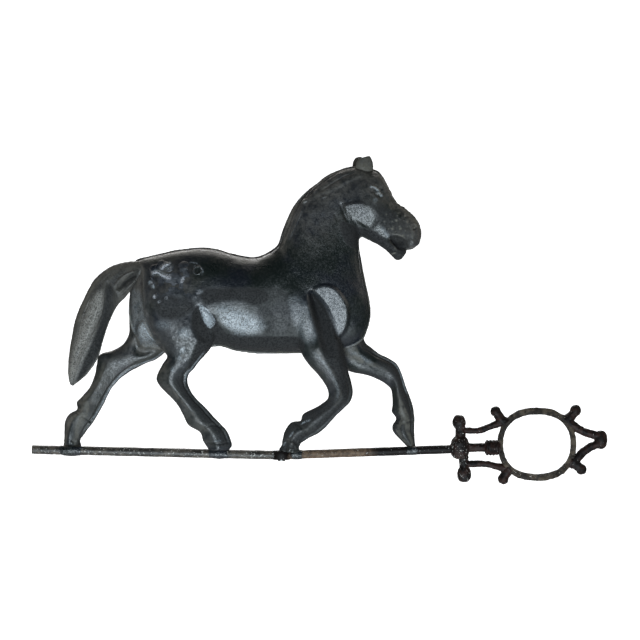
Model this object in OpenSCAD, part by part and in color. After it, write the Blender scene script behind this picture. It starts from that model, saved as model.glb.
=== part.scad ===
// Trotting horse weathervane on a lightning-rod arrow.
//
// A hollow horse, made of two body halves and separate legs, is brazed by its
// hooves to a round bar. The bar is bent at the balance point, where an eye turns
// on a short pivot, and it carries an openwork arrow with a glazing ring.
// X runs along the bar towards the arrow's point, Y away from the horse's right
// side, Z up. The origin is the mouth of the threaded socket in the pivot's foot.

/* [Bar] */
// Diameter of the rear bar, a 3/8 inch round
rear_bar_d = 9.4; // [8:0.1:11]
// Diameter of the front bar
front_bar_d = 8.8; // [8:0.1:11]
// Diameter of the turned spigot that enters the arrow's hub
spigot_d = 7.4; // [5:0.1:7.8]
// Length of the rear bar from the pivot to its cut end
rear_reach = 264.4; // [255:0.2:290]
// Height of the rear bar's end above the bend
rear_rise = 6; // [0:0.5:12]
// Length of the front bar from the pivot to the arrow's hub
front_reach = 180; // [176:1:182]
// Height of the front bar's end above the bend
front_rise = 6.4; // [0:0.2:8]

/* [Pivot] */
// Diameter of the pivot stem
stem_d = 8; // [6:0.5:9]
// Outside diameter of the bush in the eye
bush_d = 12; // [11:0.5:13]
// Outside diameter of the eye
eye_d = 18; // [16:0.5:20]
// Radial running gap between the stem and its bush
running_gap = 0.05; // [0.02:0.01:0.1]
// Radius of the tapped hole in the stem's foot
socket_r = 2.1; // [1.5:0.1:2.5]
// Depth of the tapped hole
socket_depth = 5.4; // [4:0.2:5.6]
// How far the stem's foot stands out below the eye
foot_drop = 1.5; // [1:0.1:2]

/* [Horse] */
// Width of the barrel, the widest part of the trunk
body_w = 58; // [50:1:66]
// Thickness of the hollow body's wall
wall = 1.6; // [1.2:0.1:2.4]
// Thickness of the repair on the rump
patch_t = 0.9; // [0.6:0.1:1.5]

/* [Arrow] */
// Outer width of the glazing ring
ring_w = 82.8; // [78:0.2:84]
// Outer height of the glazing ring
ring_h = 77.4; // [72:0.2:80]
// Width of the opening in the ring
window_w = 71.8; // [66:0.2:73]
// Height of the opening in the ring
window_h = 63.2; // [58:0.2:65]
// Depth of the ring's cast band
ring_depth = 8.4; // [7:0.2:10]
// Width of the groove that held the pane
groove_w = 3.2; // [2.5:0.1:4]
// Diameter of the centre shaft behind the ring
shaft_d = 9.4; // [8:0.1:10]
// Diameter of the cross pin in the hub
pin_d = 4; // [3:0.1:4.6]

/* [Hidden] */

$fn = 48;
iron = [0.16, 0.13, 0.12];
brown_iron = [0.42, 0.35, 0.3];
black_paint = [0.12, 0.14, 0.16];
bronze = [0.6, 0.45, 0.25];
steel = [0.6, 0.6, 0.62];

// Pivot heights, from the socket's mouth upwards
eye_bottom = foot_drop;
bar_z = eye_bottom + rear_bar_d / 2;
eye_top = eye_bottom + rear_bar_d;
ceiling_z = eye_top - 1.5;
ball_r = 1.5;
ball_gap = 0.05;
ball_z = ceiling_z - ball_r - ball_gap;
stem_top = ball_z - 0.8;
bush_top = ceiling_z - 0.8;

// Bar ends as [x, z]
pivot = [0, bar_z];
rear_end = [-rear_reach, bar_z + rear_rise];
front_end = [front_reach, bar_z + front_rise];

// Arrow places as [x, z]
hub = [189.2, 14.4];
hub_r = 9.6;
hub_half_h = 11.8;
upper_knob = [188.2, 41.3];
lower_knob = [193.6, -13.8];
knob_stem_d = 9;
upper_stem = [hub + [1.4, 2], upper_knob + [1.4, 0]];
lower_stem = [hub + [3.4, 0], lower_knob + [0.6, 0]];
// The rivet through the hub, along Y
pin_at = hub - [0, 1];
pin_head_r = 3.4;
pin_head_h = 1.2;
pin_head_y = hub_r - 0.6;
shaft_z = 14.2;
shaft_x0 = 195;
collar_x0 = 215.5;
collar_x1 = 233;
spigot_in = 12;
shaft_tip_d = 6;
shaft_tip_x = 222;
ring_c = [270.7, 17.8];
ring_power = 2.3;
ring_steps = 48;
// Share of the ring's radial thickness taken by the pane channel
channel_share = 0.4;
// The clearance left round a bar in what is fitted over it
bar_fit = 0.03;

// Horse outlines. A rib is [x1, z1, x2, z2, half width, y of its middle]: two
// opposite points of the side view, and the width of the section between them.
width_k = body_w / 58;

trunk = [
    [-158, 207, -161, 158, 7, 0],
    [-153, 213, -156, 138, 16, 0],
    [-140, 217, -142, 124, 23, 0],
    [-119, 222, -121, 116, 27, 0],
    [-93, 226, -94, 116, 28, 0],
    [-72, 225, -68, 122, 27, 0],
    [-50, 219, -48, 117, 28, 0],
    [-29, 216, -20, 114, 29, 0],
    [-15, 221, 8, 114, 28, 0],
    [-4, 229, 34, 115, 26, 0],
    [1, 243, 61, 118, 24, 0],
    [6, 256, 85, 128, 22, 0],
    [12, 269, 94, 152, 20, 0],
    [21, 280, 93, 171, 18, 0],
    [34, 292, 88, 194, 16, 0],
    [49, 303, 84, 216, 15, 0],
    [63, 309, 82, 234, 14, 0],
    [77, 312, 85, 238, 14, 0],
    [91, 310, 88, 237, 15, 0],
    [102, 307, 92, 235, 16, 0],
    [109, 299, 96, 233, 15.5, 0],
    [115, 287, 101, 231, 13.5, 0],
    [122, 274, 107, 230, 11.5, 0],
    [133, 266, 113, 231, 10.5, 0],
    [142, 257, 119, 233, 10, 0],
    [147, 247, 125, 230, 9.5, 0],
    [148, 239, 132, 226, 8, 0],
    [145.5, 231, 138.5, 226, 4, 0]
];
jaw = [
    [110, 242, 103, 229, 9, 0],
    [118, 235, 110, 225, 8, 0],
    [126, 228, 116, 219, 7.5, 0],
    [131.5, 223, 122, 214, 6.5, 0],
    [132.5, 220, 128, 215.5, 4, 0]
];
tail_ribs = [
    [-154, 211, -157, 186, 9, 0],
    [-167, 209, -165, 175, 10, 0],
    [-182, 203, -175, 164, 11, 0],
    [-197, 191, -183, 146, 12, 0],
    [-209, 173, -189, 128, 12, 0],
    [-218, 152, -193, 113, 11, 0],
    [-223, 128, -200, 100, 10, 0],
    [-226, 105, -209, 89, 8, 0],
    [-226, 90, -218, 82, 5, 0],
    [-224, 81, -221, 79.5, 2, 0]
];
// The first ribs of each leg are inside the body. The leg itself starts at the
// rib whose number follows the list.
right_hind = [
    [-88, 207, -144, 205, 8, -14],
    [-74, 182, -147, 180, 15, -13],
    [-70, 157, -144, 153, 16, -13.5],
    [-70, 138, -135, 131, 14.5, -14],
    [-76, 122, -126, 119, 12.5, -13.5],
    [-86, 107, -119.5, 111, 11, -13],
    [-92, 99, -124.5, 103, 10, -12.5],
    [-98, 92, -131, 90, 8.5, -12],
    [-99.5, 84, -129, 82, 8, -11.5],
    [-97, 76, -119, 71, 7, -11],
    [-91, 67, -109, 60, 6.5, -10],
    [-82, 56, -103, 49, 6.5, -9],
    [-72, 44.5, -97.5, 38.5, 7.5, -8],
    [-65.5, 37.5, -87, 32, 6.5, -6.5],
    [-59.5, 31, -84, 28, 7.5, -5.5],
    [-56, 24, -82.5, 22, 8, -4.5],
    [-54, 16.5, -78.5, 15.5, 8, -4],
    [-57, 11.5, -76, 11.5, 7.5, -3.5]
];
right_hind_seam = 5;
left_hind = [
    [-95, 200, -150, 200, 10, 13],
    [-92, 176, -159, 176, 15, 12],
    [-98, 150, -160, 150, 15.5, 12.5],
    [-112, 127, -162.5, 134, 14, 12.5],
    [-131, 109, -169, 123, 11, 12],
    [-143, 104, -180, 117, 9.5, 12],
    [-155, 98.5, -191, 112, 8.5, 11],
    [-165, 93, -194, 101, 8, 11],
    [-174, 85.5, -196, 90, 7, 10],
    [-182.5, 74.5, -202, 77, 6.5, 9.5],
    [-188.5, 62, -210.5, 68, 6.5, 8.5],
    [-193, 53, -217, 58, 7, 7.5],
    [-200, 43.5, -220, 52, 6.5, 6.5],
    [-206, 34, -228, 44, 7, 5.5],
    [-211, 27, -229.5, 33, 7.5, 5],
    [-214, 21, -230.5, 23, 7.5, 4.5],
    [-212, 14.5, -231, 15, 7, 4]
];
left_hind_seam = 4;
right_front = [
    [50, 186, 14, 192, 9, -11],
    [53, 166, 9, 171, 12.5, -14],
    [56, 146, 13, 149, 13.5, -15],
    [62, 128, 18, 131, 12.5, -14.5],
    [67, 111, 21, 115, 11, -13.5],
    [69.5, 101, 29, 104, 9.5, -13],
    [71.5, 92, 38.5, 92.5, 8.5, -12],
    [74, 82, 46, 83, 8, -11.5],
    [75, 73, 50, 74, 8, -11],
    [72.5, 64, 50, 67.5, 7.5, -10.5],
    [64, 55, 46, 61.5, 6.5, -9.5],
    [54, 45, 38, 55.5, 6, -8.5],
    [44.5, 34, 26, 50, 6.5, -7.5],
    [34, 27.5, 21, 43, 6.5, -6.5],
    [25, 22.5, 14, 38, 6.5, -5.5],
    [20.5, 19, 6, 29, 7, -4.5],
    [18.7, 15, 0.5, 19, 7, -4],
    [18.5, 9.5, -2.5, 10, 6.5, -3.5]
];
right_front_seam = 4;
left_front = [
    [78, 170, 38, 168, 9, 10],
    [85, 148, 42, 142, 12, 12],
    [88, 127, 59, 105, 11, 12],
    [97, 118.5, 72, 95.5, 10, 12],
    [106, 112, 92, 91, 9, 11],
    [115, 107.5, 105, 85.5, 8, 10.5],
    [122.5, 102, 113, 80, 7.5, 10],
    [127.5, 91.5, 117, 75, 7.5, 9.5],
    [131, 80, 118, 66, 7, 9],
    [135, 70.5, 118, 58, 6.5, 8],
    [139, 58.5, 118, 50, 7, 7.5],
    [140.5, 48, 120.5, 44.5, 6.5, 6.5],
    [140.5, 38.5, 118.5, 36, 7, 5.5],
    [140.5, 29, 119.5, 30, 7, 5],
    [141, 20, 130, 19, 5.5, 4],
    [141.5, 14.5, 134.5, 14.5, 4, 3.5]
];
left_front_seam = 2;
right_ear_ribs = [
    [83, 299, 98, 298, 4, -5],
    [83, 308, 97.5, 308, 4.5, -6.5],
    [84.5, 317, 96.5, 317, 3.5, -8],
    [87.5, 322.5, 93, 323.5, 2, -8.5]
];
left_ear_ribs = [
    [76.5, 300, 91, 299, 4, 5],
    [76, 308, 90, 308, 4.5, 6.5],
    [77.5, 317, 87.5, 317, 3.5, 8],
    [80.5, 322.5, 85, 323, 2, 8.5]
];

// Rings of points through the ribs, evenly blended between them
rib_steps = 2;
function blend(a, b, c, d, t) =
    0.5 * (2 * b + (c - a) * t + (2 * a - 5 * b + 4 * c - d) * t * t
    + (3 * b - a - 3 * c + d) * t * t * t);
function rows(ribs, steps = rib_steps) =
    let (last = len(ribs) - 1)
    concat(
        [for (i = [0:last - 1]) for (s = [0:steps - 1])
            blend(ribs[max(i - 1, 0)], ribs[i], ribs[i + 1], ribs[min(i + 2, last)], s / steps)],
        [ribs[last]]
    );
function part_of(list, first, last) = [for (i = [first:last]) list[i]];
function inset(rib, t) =
    let (d = [rib[2] - rib[0], rib[3] - rib[1]], u = d / norm(d) * t)
    [rib[0] + u.x, rib[1] + u.y, rib[2] - u.x, rib[3] - u.y, rib[4] - t, rib[5]];
function section(rib, sides) =
    let (mx = (rib[0] + rib[2]) / 2, mz = (rib[1] + rib[3]) / 2,
         hx = rib[0] - mx, hz = rib[1] - mz)
    [for (j = [0:sides - 1]) let (a = 360 * j / sides)
        [mx + hx * cos(a), (rib[5] + rib[4] * sin(a)) * width_k, mz + hz * cos(a)]];
function leans_back(rib, next) =
    let (dx = next[0] + next[2] - rib[0] - rib[2], dz = next[1] + next[3] - rib[1] - rib[3])
    dx * (rib[1] - rib[3]) - dz * (rib[0] - rib[2]) > 0;
function reversed(list) = [for (i = [len(list) - 1:-1:0]) list[i]];

// A closed solid through rows of ribs
module loft(rows, sides = 16) {
    n = len(rows);
    points = [for (r = rows) each section(r, sides)];
    walls = [for (i = [0:n - 2]) for (j = [0:sides - 1])
        let (a = i * sides + j, b = i * sides + (j + 1) % sides)
        each [[a, b, b + sides], [a, b + sides, a + sides]]];
    caps = [
        [for (j = [sides - 1:-1:0]) j],
        [for (j = [0:sides - 1]) (n - 1) * sides + j]
    ];
    faces = concat(walls, caps);
    middle = floor(n / 2);
    polyhedron(
        points,
        leans_back(rows[middle - 1], rows[middle]) ? faces : [for (f = faces) reversed(f)],
        convexity = 8
    );
}

// One closed skin round everything in it
module skin() {
    resize([0, 0, 0]) union() children();
}

// The body with everything of the legs above their seams. t is the distance
// inside the outer surface. Inside, the trunk's end rows are left off, and each
// leg runs a row past its seam, so that the hollow opens cleanly there.
module body_form(t = 0, jaw_too = true) {
    trunk_rows = rows(trunk);
    ends = t > 0 ? 1 : 0;
    kept = part_of(trunk_rows, ends, len(trunk_rows) - 1 - ends);
    loft([for (r = kept) inset(r, t)], t > 0 ? 16 : 24);
    if (jaw_too)
        loft([for (r = rows(jaw)) inset(r, t)], 12);
    for (leg = [
        [right_hind, right_hind_seam],
        [left_hind, left_hind_seam],
        [right_front, right_front_seam],
        [left_front, left_front_seam]
    ])
        loft([for (r = part_of(rows(leg[0]), 2 * ends, leg[1] * rib_steps + ends)) inset(r, t)], 20);
}

module lower_leg_form(ribs, seam) {
    all = rows(ribs);
    loft(part_of(all, seam * rib_steps, len(all) - 1), 16);
}

// A straight round bar between two [x, z] points
module bar(from, to, d) {
    run = to - from;
    translate([from.x, 0, from.y])
        rotate([0, atan2(run.x, run.y), 0])
            cylinder(h = norm(run), d = d);
}

// Everything of the bars and the eye, grown by a clearance
module bar_room(gap) {
    bar(pivot, rear_end, rear_bar_d + 2 * gap);
    bar(pivot, front_end, front_bar_d + 2 * gap);
    translate([0, 0, eye_bottom - gap])
        cylinder(h = rear_bar_d + 2 * gap, d = eye_d + 2 * gap);
}

module leg(ribs, seam) {
    color(black_paint)
        skin()
            difference() {
                lower_leg_form(ribs, seam);
                body_form();
                bar_room(bar_fit);
            }
}

module body_half(side) {
    span = [600, 80, 400];
    color(black_paint)
        skin()
            intersection() {
                difference() {
                    body_form();
                    body_form(wall, false);
                    plug_room();
                }
                translate([-span.x / 2, side < 0 ? -span.y : 0, 0])
                    cube(span);
            }
}

// The filled hole high on the right rump
plug_at = [-88.5, 201];
plug_r = 4;
plug_face = -25.5;
module plug_room() {
    translate([plug_at.x, 0, plug_at.y])
        rotate([90, 0, 0])
            cylinder(h = 40, r = plug_r + bar_fit);
}

module rump_plug() {
    depth = 7;
    color(black_paint)
        translate([plug_at.x, plug_face * width_k + depth, plug_at.y])
            rotate([90, 0, 0]) {
                cylinder(h = depth - 1, r = plug_r);
                translate([0, 0, depth - 1])
                    cylinder(h = 1, r1 = plug_r, r2 = plug_r - 1.2);
            }
}

// A lumpy layer of solder that follows the surface of the rump
module rump_patch() {
    outline = [
        [-140, 205], [-128, 211], [-112, 213], [-98, 211], [-96, 196],
        [-88, 191], [-88, 172], [-104, 163], [-122, 160], [-136, 170]
    ];
    seam_gap = 2;
    color(black_paint)
        skin()
            difference() {
                intersection() {
                    body_form(-patch_t, false);
                    translate([0, -seam_gap, 0])
                        rotate([90, 0, 0])
                            linear_extrude(height = body_w)
                                polygon(outline);
                }
                body_form();
                plug_room();
            }
}

module tail() {
    color(black_paint)
        skin()
            difference() {
                loft(rows(tail_ribs), 16);
                body_form();
            }
}

module ear(ribs) {
    color(black_paint)
        skin()
            difference() {
                loft(rows(ribs), 12);
                body_form();
            }
}

// A ring of braze round a bar, under a hoof: x0 and x1 are places along X
module braze_ring(x0, x1, bar_d, towards, swell) {
    run = towards - pivot;
    from = pivot + run * x0 / run.x;
    step = run * (x1 - x0) / run.x;
    lip = 0.3;
    bead_steps = 4;
    sides = 24;
    // Wide enough that the flats of the many-sided hole clear the bar too
    inner_r = (bar_d / 2 + bar_fit) / cos(180 / sides);
    profile = [for (i = [0:bead_steps]) let (s = i / bead_steps)
        [inner_r + lip + swell * sin(180 * s), norm(step) * s]];
    translate([from.x, 0, from.y])
        rotate([0, atan2(step.x, step.y), 0])
            rotate_extrude($fn = sides)
                polygon(concat([[inner_r, 0]], profile, [[inner_r, norm(step)]]));
}

module hoof_brazing() {
    color(black_paint)
        skin()
            difference() {
                union() {
                    braze_ring(-211, -236, rear_bar_d, rear_end, 1.2);
                    braze_ring(-54, -80, rear_bar_d, rear_end, 0.6);
                    braze_ring(10, 23, front_bar_d, front_end, 0.9);
                    braze_ring(131, 145, front_bar_d, front_end, 0.6);
                }
                lower_leg_form(right_hind, right_hind_seam);
                lower_leg_form(left_hind, left_hind_seam);
                lower_leg_form(right_front, right_front_seam);
                lower_leg_form(left_front, left_front_seam);
            }
}

module swivel_stem() {
    color(steel)
        difference() {
            cylinder(h = stem_top, d = stem_d);
            translate([0, 0, -1])
                cylinder(h = socket_depth + 1, r = socket_r);
            translate([0, 0, ball_z])
                sphere(r = ball_r);
        }
}

module thrust_ball() {
    color(steel)
        translate([0, 0, ball_z])
            sphere(r = ball_r);
}

module pivot_bush() {
    color(bronze)
        translate([0, 0, eye_bottom])
            difference() {
                cylinder(h = bush_top - eye_bottom, d = bush_d);
                translate([0, 0, -1])
                    cylinder(h = bush_top - eye_bottom + 2, r = stem_d / 2 + running_gap);
            }
}

module rear_bar() {
    color(iron)
        difference() {
            bar(pivot, rear_end, rear_bar_d);
            translate([0, 0, eye_bottom - 2])
                cylinder(h = rear_bar_d + 4, d = eye_d);
        }
}

module front_bar() {
    run = front_end - pivot;
    ahead = run / norm(run);
    color(brown_iron)
        difference() {
            union() {
                bar(pivot, front_end, front_bar_d);
                bar(front_end - ahead, front_end + ahead * spigot_in, spigot_d);
                translate([0, 0, eye_bottom])
                    cylinder(h = rear_bar_d, d = eye_d);
            }
            translate([0, 0, eye_bottom - 1])
                cylinder(h = bush_top - eye_bottom + 1, d = bush_d);
            translate([0, 0, eye_bottom])
                cylinder(h = ceiling_z - eye_bottom, d = bush_d - 2);
            pin_room();
        }
}

// The rivet's hole, and the flats under its heads
module pin_room() {
    translate([pin_at.x, 0, pin_at.y])
        rotate([90, 0, 0]) {
            cylinder(h = 4 * hub_r, d = pin_d + 2 * bar_fit, center = true);
            for (side = [-1, 1])
                translate([0, 0, side * (pin_head_y + hub_r)])
                    cylinder(h = 2 * hub_r, r = pin_head_r + bar_fit, center = true);
        }
}

// A turned knob: an ellipse spun about the vertical line through [x, z]
module knob(at, r, half_h) {
    turn = 15;
    translate([at.x, 0, at.y])
        rotate_extrude()
            polygon([for (a = [-90:turn:90]) [r * cos(a), half_h * sin(a)]]);
}

// What a scroll arm is coped to: a knob's stem, and the clearance round it
module stem_room(stem) {
    bar(stem[0], stem[1], knob_stem_d + 2 * bar_fit);
}

module arrow_hub() {
    run = front_end - pivot;
    ahead = run / norm(run);
    color(iron)
        difference() {
            union() {
                knob(hub, hub_r, hub_half_h);
                knob(upper_knob, 7, 7.1);
                knob(lower_knob, 7.4, 8.4);
                bar(upper_stem[0], upper_stem[1], knob_stem_d);
                bar(lower_stem[0], lower_stem[1], knob_stem_d);
            }
            bar(front_end - ahead * 10, front_end + ahead * spigot_in, spigot_d);
            translate([shaft_x0, 0, shaft_z])
                rotate([0, 90, 0])
                    cylinder(h = 20, d = shaft_d);
            pin_room();
        }
}

module hub_pin() {
    color(iron)
        translate([pin_at.x, 0, pin_at.y])
            rotate([90, 0, 0]) {
                cylinder(h = 2 * pin_head_y, d = pin_d, center = true);
                for (side = [-1, 1])
                    scale([1, 1, side])
                        translate([0, 0, pin_head_y])
                            cylinder(h = pin_head_h, r1 = pin_head_r, r2 = pin_head_r - 1);
            }
}

module centre_shaft() {
    color(iron)
        translate([shaft_x0, 0, shaft_z])
            rotate([0, 90, 0]) {
                cylinder(h = collar_x0 - shaft_x0, d = shaft_d);
                cylinder(h = shaft_tip_x - shaft_x0, d = shaft_tip_d);
            }
}

// A barrel with cast ribs round it, coped to the ring at its front end
module ribbed_collar() {
    end_r = 6;
    rib_r = 8.4;
    groove_r = 7.4;
    ribs = 4;
    length = collar_x1 - collar_x0;
    pitch = (length - 4) / ribs;
    profile = concat(
        [[shaft_tip_d / 2, 0], [end_r, 0]],
        [for (i = [0:ribs - 1]) let (z = 0.6 + i * pitch)
            each [[groove_r, z], [rib_r, z + pitch / 3], [rib_r, z + pitch * 2 / 3]]],
        [[groove_r, length - 3], [groove_r, length], [shaft_tip_d / 2, length]]
    );
    color(iron)
        difference() {
            union() {
                translate([collar_x0, 0, shaft_z])
                    rotate([0, 90, 0])
                        rotate_extrude()
                            polygon(profile);
                translate([shaft_tip_x, 0, shaft_z])
                    rotate([0, 90, 0])
                        cylinder(h = collar_x1 - shaft_tip_x, d = shaft_tip_d + 1);
            }
            ring_room();
        }
}

// Points of the oval: share 0 is the window's edge, 1 the ring's outer edge
function oval(share, a) =
    let (
        rx = (window_w + (ring_w - window_w) * share) / 2,
        rz = (window_h + (ring_h - window_h) * share) / 2,
        c = cos(a), s = sin(a)
    )
    [
        ring_c.x + rx * sign(c) * pow(abs(c), 2 / ring_power),
        ring_c.y + rz * sign(s) * pow(abs(s), 2 / ring_power)
    ];

// The full oval as a slab, to cut back what meets the ring from outside
module ring_room() {
    rotate([90, 0, 0])
        translate([0, 0, -20])
            linear_extrude(height = 40)
                polygon([for (i = [0:ring_steps - 1]) oval(1, 360 * i / ring_steps)]);
}

// A closed band that follows the oval. Each section point is [share, y].
module oval_band(outline) {
    k = len(outline);
    points = [for (i = [0:ring_steps - 1]) each
        [for (s = outline) let (p = oval(s.x, 360 * i / ring_steps)) [p.x, s.y, p.y]]];
    faces = [for (i = [0:ring_steps - 1]) for (j = [0:k - 1])
        let (n = (i + 1) % ring_steps, m = (j + 1) % k)
        each [[i * k + j, n * k + m, i * k + m], [i * k + j, n * k + j, n * k + m]]];
    polyhedron(points, faces, convexity = 6);
}

module glazing_ring() {
    h = ring_depth / 2;
    color(iron)
        oval_band([
            [channel_share, -h], [0.85, -h], [0.97, -h * 0.75], [1, -h * 0.45],
            [1, h * 0.45], [0.97, h * 0.75], [0.85, h], [channel_share, h]
        ]);
}

// The inner lip, with the groove that held the oval pane
module pane_channel() {
    h = ring_depth / 2 - 0.6;
    g = groove_w / 2;
    floor_share = channel_share * 0.55;
    color(iron)
        oval_band([
            [0, -h], [channel_share, -h], [channel_share, h], [0, h],
            [0, g], [floor_share, g], [floor_share, -g], [0, -g]
        ]);
}

// Ribs square to a path of [x, z, radius] points
function path_ribs(path) =
    let (last = len(path) - 1)
    [for (i = [0:last])
        let (
            a = path[max(i - 1, 0)], b = path[min(i + 1, last)], p = path[i],
            d = [b.x - a.x, b.y - a.y], u = d / norm(d) * p.z
        )
        [p.x - u.y, p.y + u.x, p.x + u.y, p.y - u.x, p.z / width_k, 0]];

module scroll(path) {
    loft(rows(path_ribs(path)), 10);
}

module curl_knob(at, r) {
    translate([at.x, 0, at.y])
        sphere(r = r, $fn = 20);
}

module upper_scroll_arm() {
    arm = [[192, 32.4, 2.7], [203, 32, 2.5], [211, 32.8, 2.5], [220, 36, 2.6], [229, 40, 3], [238, 43, 3]];
    curl = [[238, 41, 3.6], [232.5, 43.5, 3.6], [229, 49, 3.2], [226.8, 52.5, 3]];
    color(iron)
        skin()
            difference() {
                union() {
                    scroll(arm);
                    scroll(curl);
                    curl_knob([226.8, 52.8], 5.1);
                }
                ring_room();
                stem_room(upper_stem);
            }
}

module lower_scroll_arm() {
    arm = [[196, -3.6, 2.8], [207, -2.8, 2.6], [218, -3.2, 2.6], [227, -5.4, 2.9], [236, -8, 3.2], [244, -9, 3]];
    curl = [[245, -5, 3.6], [239, -9, 3.8], [236.5, -14, 3.4], [235, -19, 3]];
    color(iron)
        skin()
            difference() {
                union() {
                    scroll(arm);
                    scroll(curl);
                    curl_knob([235, -19.6], 5.1);
                }
                ring_room();
                stem_room(lower_stem);
            }
}

module arrow_tip() {
    upper = [[303, 43.5, 4.4], [309, 40, 4.3], [317, 34.5, 4], [326, 30, 3.9], [334, 27, 3.9], [339, 24.5, 4]];
    lower = [[339, 22.5, 4], [331.5, 19, 3.6], [324.7, 15, 3.4], [319, 9, 3.4], [314.5, 3.5, 3.5], [307, -3, 3.6]];
    upper_curl = [[301, 41, 4], [307, 47, 3.9], [312.7, 53.6, 3.4]];
    lower_curl = [[303, 2, 4], [310.5, -2.5, 4], [318.5, -9.6, 3.4]];
    color(iron)
        skin()
            difference() {
                union() {
                    scroll(upper);
                    scroll(lower);
                    scroll(upper_curl);
                    scroll(lower_curl);
                    curl_knob([312.7, 53.6], 5.7);
                    curl_knob([318.5, -9.6], 5.4);
                    curl_knob([338.3, 23.3], 7.4);
                }
                ring_room();
            }
}

swivel_stem();
thrust_ball();
pivot_bush();
rear_bar();
front_bar();
body_half(-1);  // right_body_half
body_half(1);  // left_body_half
leg(right_front, right_front_seam);  // right_front_leg
leg(left_front, left_front_seam);  // left_front_leg
leg(right_hind, right_hind_seam);  // right_hind_leg
leg(left_hind, left_hind_seam);  // left_hind_leg
tail();
ear(right_ear_ribs);  // right_ear
ear(left_ear_ribs);  // left_ear
rump_patch();
rump_plug();
hoof_brazing();
arrow_hub();
hub_pin();
centre_shaft();
ribbed_collar();
upper_scroll_arm();
lower_scroll_arm();
glazing_ring();
pane_channel();
arrow_tip();
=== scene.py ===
"""Trotting horse weathervane: the dressed model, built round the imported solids.

Each solid is replaced by a piece with the real one's relief and finish, or kept and given a
procedural material. Sizes inside the classes are in millimetres and become metres when a mesh
is made. X runs to the arrow's point, Y away from the horse's right side, Z up.
"""

import logging
import math
from collections.abc import Callable, Sequence
from dataclasses import dataclass, field
from enum import Enum

import bmesh
import bpy
import numpy as np
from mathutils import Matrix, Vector
from mathutils.kdtree import KDTree

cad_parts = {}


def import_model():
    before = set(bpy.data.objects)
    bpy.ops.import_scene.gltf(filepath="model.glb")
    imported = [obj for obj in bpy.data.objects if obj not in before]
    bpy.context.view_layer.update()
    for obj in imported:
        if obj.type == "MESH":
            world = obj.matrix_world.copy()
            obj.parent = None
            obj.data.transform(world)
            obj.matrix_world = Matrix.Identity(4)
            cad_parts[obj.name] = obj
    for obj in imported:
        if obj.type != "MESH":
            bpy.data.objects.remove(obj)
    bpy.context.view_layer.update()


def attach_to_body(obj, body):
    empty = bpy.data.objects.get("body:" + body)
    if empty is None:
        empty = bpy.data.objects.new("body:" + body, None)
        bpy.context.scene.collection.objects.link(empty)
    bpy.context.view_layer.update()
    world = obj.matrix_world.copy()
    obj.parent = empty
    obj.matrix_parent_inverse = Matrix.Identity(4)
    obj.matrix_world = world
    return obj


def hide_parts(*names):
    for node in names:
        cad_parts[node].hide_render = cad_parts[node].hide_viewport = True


LOG = logging.getLogger("weathervane")
MM = 0.001
Point2 = tuple[float, float]
Colour = tuple[float, float, float]
Rib = tuple[float, float, float, float, float, float]
# Places of the side view, as pairs or as one run of X and Z
Places = Sequence[float] | Sequence[Point2]
Array = np.ndarray
Obj = bpy.types.Object
Socket = bpy.types.NodeSocket
Material = bpy.types.Material
Table = dict[str, Obj]
FAR = 1e9
LEAST_RADIUS = 0.02
HASH = (73856093, 19349663, 83492791)


class Side(Enum):
    """Which of the horse's surfaces a touch of the modelling tool reaches."""

    RIGHT = "right"
    LEFT = "left"
    BOTH = "both"
    INNER = "inner"


class Edge(Enum):
    """The section of a stroke across its path."""

    ROUND = "round"
    CREASE = "crease"


class Cut(Enum):
    """What a solid cutter does to the solid it meets."""

    KEEP = "INTERSECT"
    REMOVE = "DIFFERENCE"
    ADD = "UNION"


# Meshes


def linked(name: str, mesh: bpy.types.Mesh) -> Obj:
    """Makes an object of a mesh, at the origin."""
    obj = bpy.data.objects.new(name, mesh)
    bpy.context.scene.collection.objects.link(obj)
    return obj


def from_bmesh(name: str, bm: bmesh.types.BMesh) -> Obj:
    """Makes an object of a BMesh and frees the BMesh."""
    mesh = bpy.data.meshes.new(name)
    bm.to_mesh(mesh)
    bm.free()
    return linked(name, mesh)


def mesh_object(name: str, points: Array, faces: Sequence[Sequence[int]] = ()) -> Obj:
    """Makes an object at the origin from points in millimetres.

    Args:
        name: Name of the object and its mesh.
        points: Array of n by 3 places in millimetres.
        faces: Lists of point numbers.

    Returns:
        The linked object.
    """
    mesh = bpy.data.meshes.new(name)
    mesh.from_pydata((np.asarray(points, float) * MM).tolist(), [], [list(f) for f in faces])
    mesh.update()
    return linked(name, mesh)


def loop_object(name: str, points: Array) -> Obj:
    """Makes a closed loop of edges through points in millimetres.

    Args:
        name: Name of the object.
        points: Places of the loop, in order.

    Returns:
        The object.
    """
    obj = mesh_object(name, points)
    n = len(points)
    obj.data.edges.add(n)
    obj.data.edges.foreach_set("vertices", [v for i in range(n) for v in (i, (i + 1) % n)])
    obj.data.update()
    return obj


def drop(obj: Obj) -> None:
    """Deletes a helper object with its mesh."""
    mesh = obj.data
    bpy.data.objects.remove(obj)
    bpy.data.meshes.remove(mesh)


def settle(obj: Obj) -> Obj:
    """Turns an object's modifiers into its plain mesh.

    Args:
        obj: The object with live modifiers.

    Returns:
        The same object, without modifiers.
    """
    graph = bpy.context.evaluated_depsgraph_get()
    mesh = bpy.data.meshes.new_from_object(obj.evaluated_get(graph))
    old = obj.data
    obj.modifiers.clear()
    obj.data = mesh
    mesh.name = obj.name
    bpy.data.meshes.remove(old)
    return obj


def join(name: str, parts: Sequence[Obj]) -> Obj:
    """Joins meshes into one new object and deletes the parts.

    Args:
        name: Name of the result.
        parts: Objects at the origin.

    Returns:
        The joined object.
    """
    bm = bmesh.new()
    for part in parts:
        bm.from_mesh(part.data)
    obj = from_bmesh(name, bm)
    for part in parts:
        drop(part)
    return obj


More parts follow.
